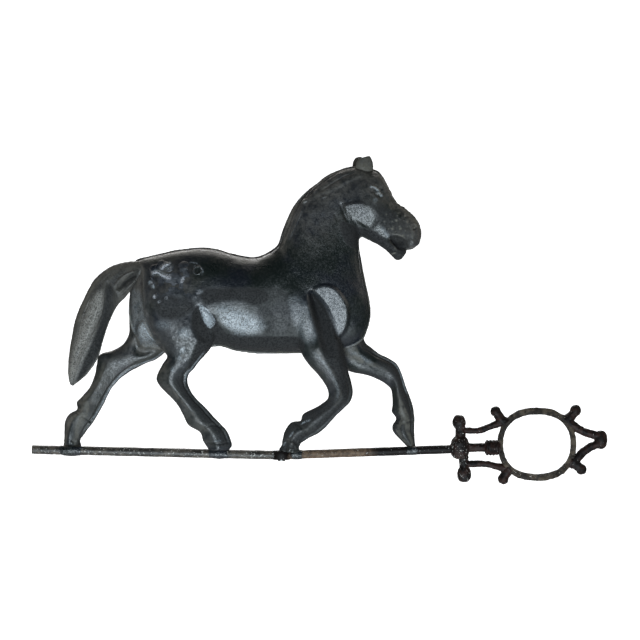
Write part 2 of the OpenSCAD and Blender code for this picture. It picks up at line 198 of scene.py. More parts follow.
def fuse(obj: Obj, voxel: float) -> Obj:
    """Melts overlapping closed shells into one skin.

    Args:
        obj: The object with the shells.
        voxel: Size of the skin's faces in millimetres.

    Returns:
        The same object with its new mesh.
    """
    mod = obj.modifiers.new("fuse", "REMESH")
    mod.mode = "VOXEL"
    mod.voxel_size = voxel * MM
    mod.use_smooth_shade = True
    return settle(obj)


def carve(obj: Obj, cutter: Obj, cut: Cut, keep: bool = False) -> Obj:
    """Cuts a closed solid with another closed solid.

    Args:
        obj: The solid that is cut.
        cutter: The solid that cuts.
        cut: Whether the shared space is kept, removed or added.
        keep: Whether the cutter is used again.

    Returns:
        The same object with its new mesh.
    """
    mod = obj.modifiers.new("cut", "BOOLEAN")
    mod.operation = cut.value
    mod.solver = "MANIFOLD"
    mod.object = cutter
    settle(obj)
    if not keep:
        drop(cutter)
    return obj


def shade(obj: Obj, angle: float = 50.0) -> Obj:
    """Shades a mesh smooth, with sharp edges past an angle in degrees."""
    obj.data.shade_smooth()
    obj.data.set_sharp_from_angle(angle=math.radians(angle))
    return obj


def tube(name: str, rows: Array, profile: Callable[[Array], Array]) -> Obj:
    """Makes a closed solid through rows, each turned into a ring of points by the profile.

    Args:
        name: Name of the object.
        rows: One row of numbers for each ring.
        profile: Turns a row into an n by 3 ring in millimetres.

    Returns:
        The object, with its faces outward.
    """
    rings = [profile(row) for row in rows]
    n, last = len(rings[0]), len(rings) - 1
    faces = [
        [i * n + j, i * n + (j + 1) % n, (i + 1) * n + (j + 1) % n, (i + 1) * n + j]
        for i in range(last)
        for j in range(n)
    ]
    faces += [list(range(n - 1, -1, -1)), list(range(last * n, (last + 1) * n))]
    obj = mesh_object(name, np.concatenate(rings), faces)
    bm = bmesh.new()
    bm.from_mesh(obj.data)
    bmesh.ops.recalc_face_normals(bm, faces=bm.faces)
    bm.to_mesh(obj.data)
    bm.free()
    return obj


def blended(ribs: Sequence[Sequence[float]], steps: int) -> Array:
    """Runs a smooth curve through rows of numbers.

    Args:
        ribs: The rows that the curve passes through.
        steps: Rows made for each gap.

    Returns:
        The blended rows.
    """
    p = np.asarray(ribs, float)
    last = len(p) - 1
    out = []
    for i in range(last):
        a, b, c, d = p[max(i - 1, 0)], p[i], p[i + 1], p[min(i + 2, last)]
        second, third = 2 * a - 5 * b + 4 * c - d, 3 * b - a - 3 * c + d
        for s in range(steps):
            t = s / steps
            out.append(0.5 * (2 * b + (c - a) * t + second * t**2 + third * t**3))
    out.append(p[last])
    return np.array(out)


def ball(centre: Sequence[float], radius: float) -> Obj:
    """Makes a round closed ball in millimetres."""
    bm = bmesh.new()
    bmesh.ops.create_icosphere(bm, subdivisions=4, radius=radius * MM)
    bmesh.ops.translate(bm, verts=bm.verts, vec=Vector(centre) * MM)
    return from_bmesh("ball", bm)


def block(low: Sequence[float], high: Sequence[float]) -> Obj:
    """Makes a rectangular cutter between two corners in millimetres."""
    xs, ys, zs = zip(low, high)
    points = np.array([(x, y, z) for x in xs for y in ys for z in zs])
    faces = [(0, 1, 3, 2), (4, 6, 7, 5), (0, 4, 5, 1), (2, 3, 7, 6), (0, 2, 6, 4), (1, 5, 7, 3)]
    return mesh_object("block", points, faces)


def prism(outline: Array, y0: float, y1: float) -> Obj:
    """Makes a cutter from an outline in the side view, between two depths in millimetres.

    Args:
        outline: Corners in the side view.
        y0: Depth of the near end.
        y1: Depth of the far end.

    Returns:
        The closed solid.
    """

    def ring(row: Array) -> Array:
        """Sets the outline at one depth."""
        return np.column_stack([outline[:, 0], np.full(len(outline), row[0]), outline[:, 1]])

    return tube("prism", np.array([[y0], [y1]]), ring)


def turned(
    name: str, profile: Sequence[Point2], start: Sequence[float], end: Sequence[float], sides: int
) -> Obj:
    """Makes a turned solid on the line from start to end.

    Args:
        name: Name of the object.
        profile: Pairs of radius and distance along the line, in millimetres.
        start: Where the line begins.
        end: Another point on the line.
        sides: Number of sides.

    Returns:
        The closed solid.
    """
    origin = np.array(start, float)
    axis = np.array(end, float) - origin
    axis /= np.linalg.norm(axis)
    helper = np.array([0.0, 1.0, 0.0]) if abs(axis[1]) < 0.9 else np.array([1.0, 0.0, 0.0])
    u = np.cross(axis, helper)
    u /= np.linalg.norm(u)
    v = np.cross(axis, u)
    angles = np.linspace(0, 2 * math.pi, sides, endpoint=False)
    spokes = np.outer(np.cos(angles), u) + np.outer(np.sin(angles), v)
    rows = np.array([[max(r, LEAST_RADIUS), s] for r, s in profile])
    return tube(name, rows, lambda row: origin + axis * row[1] + spokes * row[0])


# Surface shaping


def smoothstep(x: Array) -> Array:
    """Eases 0 to 1 over the same range."""
    t = np.clip(x, 0.0, 1.0)
    return t * t * (3 - 2 * t)


def hump(co: Array, centre: Point2, radii: Point2) -> Array:
    """A soft weight, 1 at a place of the side view and near 0 past the radii."""
    u = (co[:, [0, 2]] - centre) / radii
    return np.exp(-(u[:, 0] ** 2) - u[:, 1] ** 2)


def value_noise(points: Array, cell: float, seed: int) -> Array:
    """Smooth random values from -1 to 1.

    Args:
        points: Array of n by 3 places in millimetres.
        cell: Size of one lump in millimetres.
        seed: Seed of the values.

    Returns:
        One value for each point.
    """
    count = 4096
    table = np.random.default_rng(seed).uniform(-1, 1, count)
    q = points / cell
    base = np.floor(q).astype(np.int64)
    f = smoothstep(q - base)
    total = np.zeros(len(points))
    for corner in np.ndindex(2, 2, 2):
        x, y, z = ((base + corner) * HASH).T
        w = np.where(corner, f, 1 - f)
        total += w[:, 0] * w[:, 1] * w[:, 2] * table[(x ^ y ^ z) & (count - 1)]
    return total


def to_path(path: Places, flat: Array) -> tuple[Array, Array]:
    """Distance from points to a path in the side view.

    Args:
        path: Corners of the path in millimetres.
        flat: Array of n by 2 places in the side view.

    Returns:
        The distance, and the share of the path's length at the nearest place.
    """
    p = np.reshape(path, (-1, 2)).astype(float)
    if len(p) > 2:
        p = blended(p, 4)
    seg = p[1:] - p[:-1]
    length = np.maximum(np.linalg.norm(seg, axis=1), 1e-6)
    start = np.concatenate([[0], np.cumsum(length)])
    best = np.full(len(flat), FAR)
    share = np.zeros(len(flat))
    for a, d, l, s in zip(p[:-1], seg, length, start):
        t = np.clip((flat - a) @ d / l**2, 0, 1)
        dist = np.linalg.norm(flat - a - np.outer(t, d), axis=1)
        near = dist < best
        best = np.where(near, dist, best)
        share = np.where(near, (s + t * l) / start[-1], share)
    return best, share


def inside(outline: Places, flat: Array) -> Array:
    """Distance inside a closed outline, negative outside it.

    Args:
        outline: Corners in millimetres.
        flat: Array of n by 2 places in the side view.

    Returns:
        One distance for each place.
    """
    p = np.reshape(outline, (-1, 2)).astype(float)
    p = blended(np.vstack([p[-1:], p, p[:2]]), 4)[4:-5]
    x, z = flat.T
    within = np.zeros(len(flat), bool)
    best = np.full(len(flat), FAR)
    for a, b in zip(p, np.roll(p, -1, axis=0)):
        d = b - a
        t = np.clip((flat - a) @ d / max(float(d @ d), 1e-9), 0, 1)
        best = np.minimum(best, np.linalg.norm(flat - a - np.outer(t, d), axis=1))
        crosses = (a[1] > z) != (b[1] > z)
        within ^= crosses & (x < d[0] * (z - a[1]) / (d[1] if d[1] else 1e-9) + a[0])
    return np.where(within, best, -best)


class Touch:
    """One mark of the modelling tool, placed in the side view."""

    side: Side
    sideways: bool
    height: float

    def box(self) -> tuple[Array, Array]:
        """The corners of what it can reach."""
        raise NotImplementedError

    def shape(self, flat: Array) -> Array:
        """Its strength from 0 to 1 at places of the side view."""
        raise NotImplementedError

    def amount(self, flat: Array, depth: Array) -> Array:
        """How far it moves points outwards.

        Args:
            flat: Places in the side view.
            depth: Their distance from the middle plane.

        Returns:
            Millimetres for each point.
        """
        return self.shape(flat) * self.height


def widened(places: Places, margin: float) -> tuple[Array, Array]:
    """The corners of the box round some places, with a margin."""
    corners = np.reshape(places, (-1, 2))
    return corners.min(0) - margin, corners.max(0) + margin


@dataclass(frozen=True)
class Stroke(Touch):
    """A groove or ridge drawn along a path, in millimetres."""

    path: Places
    width: float
    height: float
    side: Side = Side.RIGHT
    edge: Edge = Edge.ROUND
    fade: float = 0.2
    sideways: bool = False

    def box(self) -> tuple[Array, Array]:
        """The corners of what it can reach."""
        return widened(self.path, self.width)

    def shape(self, flat: Array) -> Array:
        """Its strength from 0 to 1."""
        dist, share = to_path(self.path, flat)
        u = np.clip(dist / (self.width / 2), 0, 1)
        shape = (1 - u * u) ** 2 if self.edge is Edge.ROUND else (1 - u) ** 1.5
        return shape * smoothstep(np.minimum(share, 1 - share) / self.fade + 0.05)


@dataclass(frozen=True)
class Swell(Touch):
    """A soft bump or hollow with an oval outline, in millimetres."""

    centre: Point2
    radii: Point2
    turn: float
    height: float
    side: Side = Side.RIGHT
    sideways: bool = False

    def box(self) -> tuple[Array, Array]:
        """The corners of what it can reach."""
        return widened(self.centre, max(self.radii))

    def shape(self, flat: Array) -> Array:
        """Its strength from 0 to 1."""
        c, s = math.cos(math.radians(self.turn)), math.sin(math.radians(self.turn))
        d = flat - np.array(self.centre)
        u = (d[:, 0] * c + d[:, 1] * s) / self.radii[0]
        v = (-d[:, 0] * s + d[:, 1] * c) / self.radii[1]
        return (1 - np.clip(u * u + v * v, 0, 1)) ** 2


@dataclass(frozen=True)
class Plate(Touch):
    """A raised or sunk area with any outline, moved straight sideways."""

    outline: Places
    height: float
    edge: float
    side: Side = Side.RIGHT
    sideways: bool = True

    def box(self) -> tuple[Array, Array]:
        """The corners of what it can reach."""
        return widened(self.outline, self.edge)

    def shape(self, flat: Array) -> Array:
        """Its strength from 0 to 1."""
        return smoothstep(inside(self.outline, flat) / self.edge + 0.5)


@dataclass(frozen=True)
class Facet(Plate):
    """An area drawn towards one plane, which leans to the ground and turns to the arrow.

    The height is how much of the way to the plane the points go. Lean and turn are in degrees.
    """

    lean: float = 12.0
    turn: float = 0.0
    lift: float = 0.0

    def amount(self, flat: Array, depth: Array) -> Array:
        """How far it moves points outwards.

        Args:
            flat: Places in the side view.
            depth: Their distance from the middle plane.

        Returns:
            Millimetres for each point.
        """
        shape = self.shape(flat)
        core = shape > 0.5
        if not core.any():
            return shape * 0
        middle = flat[core].mean(axis=0)
        slopes = np.tan(np.radians([-self.turn, self.lean]))
        plane = depth[core].mean() + self.lift + (flat - middle) @ slopes
        return shape * self.height * (plane - depth)


def strokes(side: Side, fade: float, *rows: Sequence[float]) -> tuple[Stroke, ...]:
    """Strokes from rows of width, height and the path's places."""
    return tuple(Stroke(row[2:], row[0], row[1], side, fade=fade) for row in rows)


def swells(side: Side, *rows: Sequence[float]) -> tuple[Swell, ...]:
    """Swells from rows of the middle, the two radii, the turn and the height."""
    return tuple(Swell(row[:2], row[2:4], row[4], row[5], side) for row in rows)


def plates(side: Side, *rows: Sequence[float]) -> tuple[Plate, ...]:
    """Plates from rows of height, edge and the outline's places."""
    return tuple(Plate(row[2:], row[0], row[1], side) for row in rows)


class Clay:
    """A dense closed mesh that is pushed and smoothed in code. Lengths are in millimetres."""

    def __init__(self, obj: Obj) -> None:
        """Reads the object's mesh.

        Args:
            obj: The object, whose mesh is closed.
        """
        self.obj = obj
        mesh = obj.data
        self.n = len(mesh.vertices)
        flat = np.empty(self.n * 3, np.float32)
        mesh.vertices.foreach_get("co", flat)
        self.co = flat.reshape(-1, 3).astype(float) / MM
        pairs = np.empty(len(mesh.edges) * 2, np.int32)
        mesh.edges.foreach_get("vertices", pairs)
        self.a, self.b = pairs.reshape(-1, 2).T
        self.degree = np.maximum(np.bincount(pairs, minlength=self.n), 1)
        self.refresh()

    def refresh(self) -> None:
        """Writes the places to the mesh and reads its normals."""
        mesh = self.obj.data
        mesh.vertices.foreach_set("co", (self.co * MM).astype(np.float32).ravel())
        mesh.update()
        flat = np.empty(self.n * 3, np.float32)
        mesh.vertex_normals.foreach_get("vector", flat)
        self.normal = flat.reshape(-1, 3).astype(float)

    def mean(self, values: Array) -> Array:
        """Averages one value over each point's neighbours."""
        total = np.bincount(self.a, values[self.b], self.n)
        return (total + np.bincount(self.b, values[self.a], self.n)) / self.degree

    def relax(self, rounds: int, strength: float = 0.5, weight: Array | float = 1.0) -> None:
        """Smooths the surface.

        Args:
            rounds: Number of passes.
            strength: How far each pass moves a point to its neighbours' middle.
            weight: Share of the strength for each point.
        """
        for _ in range(rounds):
            middle = np.column_stack([self.mean(self.co[:, k]) for k in range(3)])
            self.co += (middle - self.co) * strength * np.reshape(weight, (-1, 1))
        self.refresh()

    def soften(self, values: Array, rounds: int) -> Array:
        """Spreads a value over the surface."""
        for _ in range(rounds):
            values = 0.5 * values + 0.5 * self.mean(values)
        return values

    def bulge(self, rounds: int = 2) -> Array:
        """How far each point stands out of its neighbours, in millimetres. Hollows are negative."""
        middle = np.column_stack([self.soften(self.mean(self.co[:, k]), rounds) for k in range(3)])
        return np.einsum("ij,ij->i", self.co - middle, self.normal)

    def reach(self, side: Side) -> Array:
        """How much of a touch from that side each point takes, from 0 to 1.

        Args:
            side: The side that the touch comes from.

        Returns:
            One share for each point.
        """
        ny, y = self.normal[:, 1], self.co[:, 1]
        if side is Side.RIGHT:
            return smoothstep((0.2 - ny) / 0.5) * (y < 1.0)
        if side is Side.LEFT:
            return smoothstep((0.2 + ny) / 0.5) * (y > -1.0)
        if side is Side.INNER:
            return smoothstep((0.2 - ny) / 0.5) * (y > -2.0)
        return np.ones(self.n)

    def draw(self, touches: Sequence[Touch], floor: float = 1.2) -> None:
        """Applies touches one after another.

        Args:
            touches: Strokes, swells, plates and facets.
            floor: How near to the middle plane a touch may sink a point.
        """
        for touch in touches:
            flat = self.co[:, [0, 2]]
            low, high = touch.box()
            near = np.flatnonzero(((flat > low) & (flat < high)).all(axis=1))
            if not len(near):
                continue
            before = self.co[near, 1]
            amount = touch.amount(flat[near], np.abs(before)) * self.reach(touch.side)[near]
            if touch.sideways:
                self.co[near, 1] += np.sign(self.normal[near, 1]) * amount
            else:
                self.co[near] += self.normal[near] * amount[:, None]
            side = np.sign(before)
            after = side * np.maximum(side * self.co[near, 1], np.minimum(np.abs(before), floor))
            self.co[near, 1] = after
            self.refresh()

    def roughen(self, *layers: tuple[float, float, int], weight: Array | float = 1.0) -> None:
        """Adds random unevenness.

        Args:
            *layers: Size of a lump, its height and the seed, for each pass.
            weight: Share of the height for each point.
        """
        for cell, height, seed in layers:
            self.co += self.normal * (value_noise(self.co, cell, seed) * height * weight)[:, None]
            self.refresh()


def write_mask(obj: Obj, name: str, values: Array) -> None:
    """Stores one number for each point of a mesh, for its material to read."""
    layer = obj.data.attributes.get(name) or obj.data.attributes.new(name, "FLOAT", "POINT")
    layer.data.foreach_set("value", np.asarray(values, np.float32))


class MaskSource:
    """Carries surface masks from the uncut form to the pieces cut from it."""

    def __init__(self, clay: Clay, masks: dict[str, Array]) -> None:
        """Indexes the form's points.

        Args:
            clay: The uncut form.
            masks: Numbers for each of its points, by name.
        """
        self.masks = masks
        self.tree = KDTree(clay.n)
        for i, c in enumerate((clay.co * MM).tolist()):
            self.tree.insert(c, i)
        self.tree.balance()

    def give(self, obj: Obj) -> None:
        """Writes each mask on a piece from the nearest point of the form."""
        found = np.array([self.tree.find(v.co)[1] for v in obj.data.vertices], int)
        for name, values in self.masks.items():
            write_mask(obj, name, values[found])


# Finishes


class NodeTree:
    """A node tree that is built in code."""

    tree: bpy.types.NodeTree

    def feed(self, slot: Socket, value: object) -> None:
        """Joins another node's output to an input, or sets the input's value."""
        if isinstance(value, Socket):
            self.tree.links.new(value, slot)
        else:
            slot.default_value = value

    def add(
        self, kind: str, inputs: dict[str | int, object] | None = None, **props: object
    ) -> bpy.types.Node:
        """Adds a node.

        Args:
            kind: The node's type.
            inputs: What is joined to each input or set there, by its name or number.
            **props: Properties of the node.

        Returns:
            The node.
        """
        node = self.tree.nodes.new(kind)
        for key, value in props.items():
            setattr(node, key, value)
        for key, value in (inputs or {}).items():
            self.feed(node.inputs[key], value)
        return node


class Nodes(NodeTree):
    """A short way to build a material."""

    def __init__(self, name: str) -> None:
        """Starts an empty material."""
        self.material = bpy.data.materials.new(name)
        self.material.use_nodes = True
        self.tree = self.material.node_tree
        self.tree.nodes.clear()
        self.shader = self.add("ShaderNodeBsdfPrincipled")
        self.add("ShaderNodeOutputMaterial", {"Surface": self.shader.outputs[0]})
        self.place = self.add("ShaderNodeTexCoord").outputs["Object"]

    def noise(self, size: float, detail: float = 3.0) -> Socket:
        """Adds noise whose lumps are about that many millimetres wide."""
        inputs = {"Scale": 1000.0 / size, "Detail": detail, "Roughness": 0.55}
        inputs["Vector"] = self.place
        return self.add("ShaderNodeTexNoise", inputs).outputs["Fac"]

    def ramp(self, value: Socket, low: float, high: float) -> Socket:
        """Spreads the range low to high over 0 to 1, and clips it."""
        inputs = {"Value": value, "From Min": low, "From Max": high}
        node = self.add("ShaderNodeMapRange", inputs, interpolation_type="SMOOTHSTEP")
        return node.outputs["Result"]

    def maths(self, kind: str, *values: Socket | float) -> Socket:
        """Adds a Math node."""
        return self.add("ShaderNodeMath", dict(enumerate(values)), operation=kind).outputs[0]

    def mix(self, share: Socket, a: Socket | Colour, b: Socket | Colour) -> Socket:
        """Mixes two colours."""
        node = self.add("ShaderNodeMix", {"Factor": share}, data_type="RGBA")
        slots = [s for s in node.inputs if s.type == "RGBA"]
        for slot, value in zip(slots, (a, b)):
            self.feed(slot, value if isinstance(value, Socket) else (*value, 1.0))
        return [s for s in node.outputs if s.type == "RGBA"][0]

    def mask(self, name: str) -> Socket:
        """Reads a number stored on the mesh."""
        return self.add("ShaderNodeAttribute", attribute_name=name).outputs["Fac"]

    def worn(self, name: str, size: float, detail: float, low: float, high: float) -> Socket:
        """Reads a number stored on the mesh and breaks it up with noise."""
        broken = self.ramp(self.noise(size, detail), low, high)
        return self.maths("MULTIPLY", self.mask(name), broken)

    def bump(self, height: Socket, depth: float, under: Socket | None = None) -> Socket:
        """Adds bump of that depth in millimetres over an earlier bump."""
        inputs = {"Strength": 1.0, "Distance": depth * MM, "Height": height}
        if under is not None:
            inputs["Normal"] = under
        return self.add("ShaderNodeBump", inputs).outputs["Normal"]

    def finish(self, **inputs: object) -> Material:
        """Gives the results to the shader.

        Args:
            **inputs: What each input gets, by its name with _ for a space.

        Returns:
            The material.
        """
        for name, value in inputs.items():
            self.feed(self.shader.inputs[name.replace("_", " ")], value)
        return self.material


@dataclass(frozen=True)
class BlackPaint:
    """Old satin black paint on sheet metal, with dust on top, rubbed edges, painted highlights and
    painted shade.
    """

    name: str = "satin black paint"
    cool: Colour = (0.0055, 0.0075, 0.011)
    green: Colour = (0.005, 0.0078, 0.0072)
    dust: Colour = (0.135, 0.128, 0.108)
    rubbed: Colour = (0.06, 0.058, 0.052)
    # Grey layer colour, which also paints highlight lines down the legs
    film: Colour = (0.06, 0.056, 0.05)
    rough: float = 0.3
    # Colour of the painted highlights
    bare: Colour = (0.2, 0.225, 0.245)
    # Colour of the painted shade: near black
    painted_shade_colour: Colour = (0.0022, 0.0027, 0.0032)
    grain: float = 0.26

    def build(self) -> Material:
        """Makes the material.

        Returns:
            The material.
        """
        n = Nodes(self.name)
        colour = n.mix(n.ramp(n.noise(38, 2), 0.4, 0.6), self.cool, self.green)
        # Painted shade: the matte mask also darkens the paint to near black on hollows, undersides
        # and sides turned from the light
        colour = n.mix(n.mask("dull"), colour, self.painted_shade_colour)
        patchy = n.maths(
            "MULTIPLY", n.ramp(n.noise(7, 4), 0.2, 0.65), n.ramp(n.noise(1.9, 3), 0.05, 0.6)
        )
        # The grey layer also carries painted highlight lines down the legs
        film = n.maths("MULTIPLY", n.mask("film"), patchy)
        colour = n.mix(film, colour, self.film)
        # Painted highlights: pale speckled blue-grey where light catches the paint
        colour = n.mix(n.worn("bare", 1.5, 2, 0.3, 0.62), colour, self.bare)
        dust = n.worn("dust", 5, 4, 0.25, 0.6)
        colour = n.mix(dust, colour, self.dust)
        colour = n.mix(n.worn("wear", 3, 4, 0.38, 0.6), colour, self.rubbed)
        rough = n.maths("MULTIPLY_ADD", n.noise(14, 3), 0.16, self.rough - 0.08)
        for share, more in (
            (n.maths("MAXIMUM", dust, film), 0.22),
            (n.ramp(n.noise(1.9, 2), 0.46, 0.6), 0.2),
            (n.mask("dull"), 0.46),
        ):
            rough = n.maths("MULTIPLY_ADD", share, more, rough)
        normal = n.bump(n.noise(9, 3), 0.3)
        normal = n.bump(n.noise(1.6, 2), self.grain, normal)
        normal = n.bump(n.noise(0.8, 2), self.grain * 0.35, normal)
        return n.finish(Base_Color=colour, Roughness=rough, Normal=normal)


@dataclass(frozen=True)
class CastIron:
    """Pitted, weathered cast iron with brown rust in its hollows."""

    name: str = "weathered cast iron"
    dark: Colour = (0.004, 0.0026, 0.0024)
    rust: Colour = (0.02, 0.0095, 0.0075)
    worn: Colour = (0.3, 0.29, 0.27)
    rough: float = 0.52
    pits: float = 0.5
    bright: float = 0.69
    shine: float = 0.15

    def build(self) -> Material:
        """Makes the material.

        Returns:
            The material.
        """
        n = Nodes(self.name)
        colour = n.mix(n.ramp(n.noise(7, 4), 0.42, 0.62), self.dark, self.rust)
        colour = n.mix(n.ramp(n.noise(1.8, 3), self.bright, self.bright + 0.05), colour, self.worn)
        rough = n.maths("MULTIPLY_ADD", n.noise(2.5, 4), 0.3, self.rough - 0.15)
        normal = n.bump(n.noise(2.6, 4), self.pits)
        normal = n.bump(n.noise(0.8, 3), self.pits * 0.3, normal)
        return n.finish(
            Base_Color=colour, Roughness=rough, Normal=normal, Specular_IOR_Level=self.shine
        )


@dataclass(frozen=True)
class BrownBar:
    """Bare brown bar with mill scale, darker towards the arrow."""

    name: str = "brown iron bar"
    brown: Colour = (0.062, 0.041, 0.028)
    pale: Colour = (0.13, 0.089, 0.06)
    dark: Colour = (0.004, 0.0028, 0.0026)
    worn: Colour = (0.35, 0.34, 0.33)

    def build(self) -> Material:
        """Makes the material.

        Returns:
            The material.
        """
        n = Nodes(self.name)
        colour = n.mix(n.ramp(n.noise(4, 4), 0.4, 0.65), self.brown, self.pale)
        along = n.add("ShaderNodeSeparateXYZ", {0: n.place}).outputs["X"]
        ragged = n.maths("MULTIPLY_ADD", n.noise(9, 4), 0.03, along)
        colour = n.mix(n.ramp(ragged, 0.098, 0.12), colour, self.dark)
        near = n.ramp(n.maths("MULTIPLY", ragged, -1.0), -0.034, -0.022)
        colour = n.mix(near, colour, self.dark)
        colour = n.mix(n.ramp(n.noise(1.6, 3), 0.66, 0.71), colour, self.worn)
        rough = n.maths("MULTIPLY_ADD", n.noise(3, 4), 0.25, 0.42)
        normal = n.bump(n.noise(2.4, 4), 0.4)
        normal = n.bump(n.noise(0.7, 3), 0.12, normal)
        return n.finish(
            Base_Color=colour, Roughness=rough, Normal=normal, Specular_IOR_Level=0.14
        )


@dataclass(frozen=True)
class TurnedMetal:
    """Turned metal with fine tool lines round the vertical axis."""

    name: str = "turned steel"
    colour: Colour = (0.38, 0.37, 0.36)
    stain: Colour = (0.09, 0.07, 0.055)
    rough: float = 0.34

    def build(self) -> Material:
        """Makes the material.

        Returns:
            The material.
        """
        n = Nodes(self.name)
        colour = n.mix(n.ramp(n.noise(2.5, 4), 0.5, 0.7), self.colour, self.stain)
        rough = n.maths("MULTIPLY_ADD", n.noise(2, 3), 0.2, self.rough - 0.1)
        lines = n.add(
            "ShaderNodeTexWave",
            {"Vector": n.place, "Scale": 900.0, "Distortion": 0.6},
            wave_type="BANDS",
            bands_direction="Z",
        )
        normal = n.bump(lines.outputs["Fac"], 0.01)
        return n.finish(Base_Color=colour, Roughness=rough, Normal=normal, Metallic=1.0)


# Geometry node trees


class NodeTool(NodeTree):
    """A Geometry Nodes tree with named inputs, used once and turned into a plain mesh."""

    def __init__(self, name: str, **sizes: str) -> None:
        """Starts a tree with its geometry and named inputs.

        Args:
            name: Name of the tree.
            **sizes: The kind of each input, by its name with _ for a space.
        """
        self.tree = bpy.data.node_groups.new(name, "GeometryNodeTree")
        for way in ("OUTPUT", "INPUT"):
            self.tree.interface.new_socket(
                "Geometry", in_out=way, socket_type="NodeSocketGeometry"
            )
        for size, kind in {**sizes, "Finish": "Material"}.items():
            self.tree.interface.new_socket(
                size.replace("_", " "), in_out="INPUT", socket_type=f"NodeSocket{kind}"
            )
        self.source = self.add("NodeGroupInput").outputs

    def close(self, geometry: Socket) -> None:
        """Ends the tree in Realize Instances and Set Material."""
        real = self.add("GeometryNodeRealizeInstances", {"Geometry": geometry})
        inputs = {"Geometry": real.outputs[0], "Material": self.source["Finish"]}
        last = self.add("GeometryNodeSetMaterial", inputs)
        self.add("NodeGroupOutput", {0: last.outputs[0]})

    def make(self, obj: Obj, inputs: dict[str, object]) -> Obj:
        """Runs the tree on an object and turns the result into its plain mesh.

        Args:
            obj: The object that the tree starts from.
            inputs: Values by the inputs' names.

        Returns:
            The same object, without a modifier.
        """
        mod = obj.modifiers.new("nodes", "NODES")
        mod.node_group = self.tree
        names = {
            item.name: item.identifier
            for item in self.tree.interface.items_tree
            if item.item_type == "SOCKET" and item.in_out == "INPUT"
        }
        for name, value in inputs.items():
            mod[names[name]] = value
        obj.update_tag()
        return settle(obj)


def sweep_tool() -> NodeTool:
    """Makes the tree that sweeps a section round a closed path drawn flat, and stands it up.

    Returns:
        The finished tree.
    """
    tool = NodeTool("sweep round a path", Section="Object")
    path = tool.add("GeometryNodeMeshToCurve", {"Mesh": tool.source["Geometry"]})
    path = tool.add("GeometryNodeSetCurveNormal", {"Curve": path.outputs[0]}, mode="Z_UP")
    info = tool.add("GeometryNodeObjectInfo", {"Object": tool.source["Section"]})
    section = tool.add("GeometryNodeMeshToCurve", {"Mesh": info.outputs["Geometry"]})
    breadth = tool.add("GeometryNodeInputNamedAttribute", {"Name": "breadth"}, data_type="FLOAT")
    inputs = {"Curve": path.outputs[0], "Profile Curve": section.outputs[0]}
    swept = tool.add("GeometryNodeCurveToMesh", {**inputs, "Scale": breadth.outputs[0]})
    # The scale widens the band only, so its depth is divided by it again
    at = tool.add("GeometryNodeInputPosition").outputs[0]
    x, y, z = tool.add("ShaderNodeSeparateXYZ", {"Vector": at}).outputs
    z = tool.add("ShaderNodeMath", {0: z, 1: breadth.outputs[0]}, operation="DIVIDE").outputs[0]
    at = tool.add("ShaderNodeCombineXYZ", {"X": x, "Y": y, "Z": z}).outputs[0]
    swept = tool.add("GeometryNodeSetPosition", {"Geometry": swept.outputs[0], "Position": at})
    stood = {"Geometry": swept.outputs[0], "Rotation": (math.pi / 2, 0.0, 0.0)}
    tool.close(tool.add("GeometryNodeTransform", stood).outputs[0])
    return tool


def ring_row_tool() -> NodeTool:
    """Makes the tree that sets a row of round rings along a line.

    Returns:
        The finished tree.
    """
    tool = NodeTool(
        "row of rings", Count="Int", Ring_Radius="Float", Wire_Radius="Float", Start="Vector",
        Step="Vector",
    )
    src = tool.source
    inputs = {"Count": src["Count"], "Start Location": src["Start"], "Offset": src["Step"]}
    line = tool.add("GeometryNodeMeshLine", inputs)
    hoop, wire = (
        tool.add("GeometryNodeCurvePrimitiveCircle", {"Radius": src[size], "Resolution": sides})
        for size, sides in (("Ring Radius", 48), ("Wire Radius", 12))
    )
    inputs = {"Curve": hoop.outputs["Curve"], "Profile Curve": wire.outputs["Curve"]}
    ring = tool.add("GeometryNodeCurveToMesh", inputs)
    inputs = {"Geometry": ring.outputs[0], "Rotation": (0.0, math.pi / 2, 0.0)}
    stood = tool.add("GeometryNodeTransform", inputs)
    inputs = {"Points": line.outputs[0], "Instance": stood.outputs[0]}
    tool.close(tool.add("GeometryNodeInstanceOnPoints", inputs).outputs[0])
    return tool


def lump_tool() -> NodeTool:
    """Makes the tree that scatters round lumps over a surface, with a fixed seed.

    Returns:
        The finished tree.
    """
    tool = NodeTool(
        "scattered lumps", Density="Float", Smallest="Float", Largest="Float", Seed="Int"
    )
    src = tool.source
    inputs = {"Mesh": src["Geometry"], "Density": src["Density"], "Seed": src["Seed"]}
    dots = tool.add("GeometryNodeDistributePointsOnFaces", inputs)
    lump = tool.add("GeometryNodeMeshIcoSphere", {"Radius": 1.0, "Subdivisions": 2})
    inputs = {2: src["Smallest"], 3: src["Largest"], 8: src["Seed"]}
    width = tool.add("FunctionNodeRandomValue", inputs, data_type="FLOAT")
    inputs = {"Points": dots.outputs["Points"], "Instance": lump.outputs["Mesh"]}
    placed = tool.add("GeometryNodeInstanceOnPoints", {**inputs, "Scale": width.outputs[1]})
    tool.close(placed.outputs[0])
    return tool


# The horse


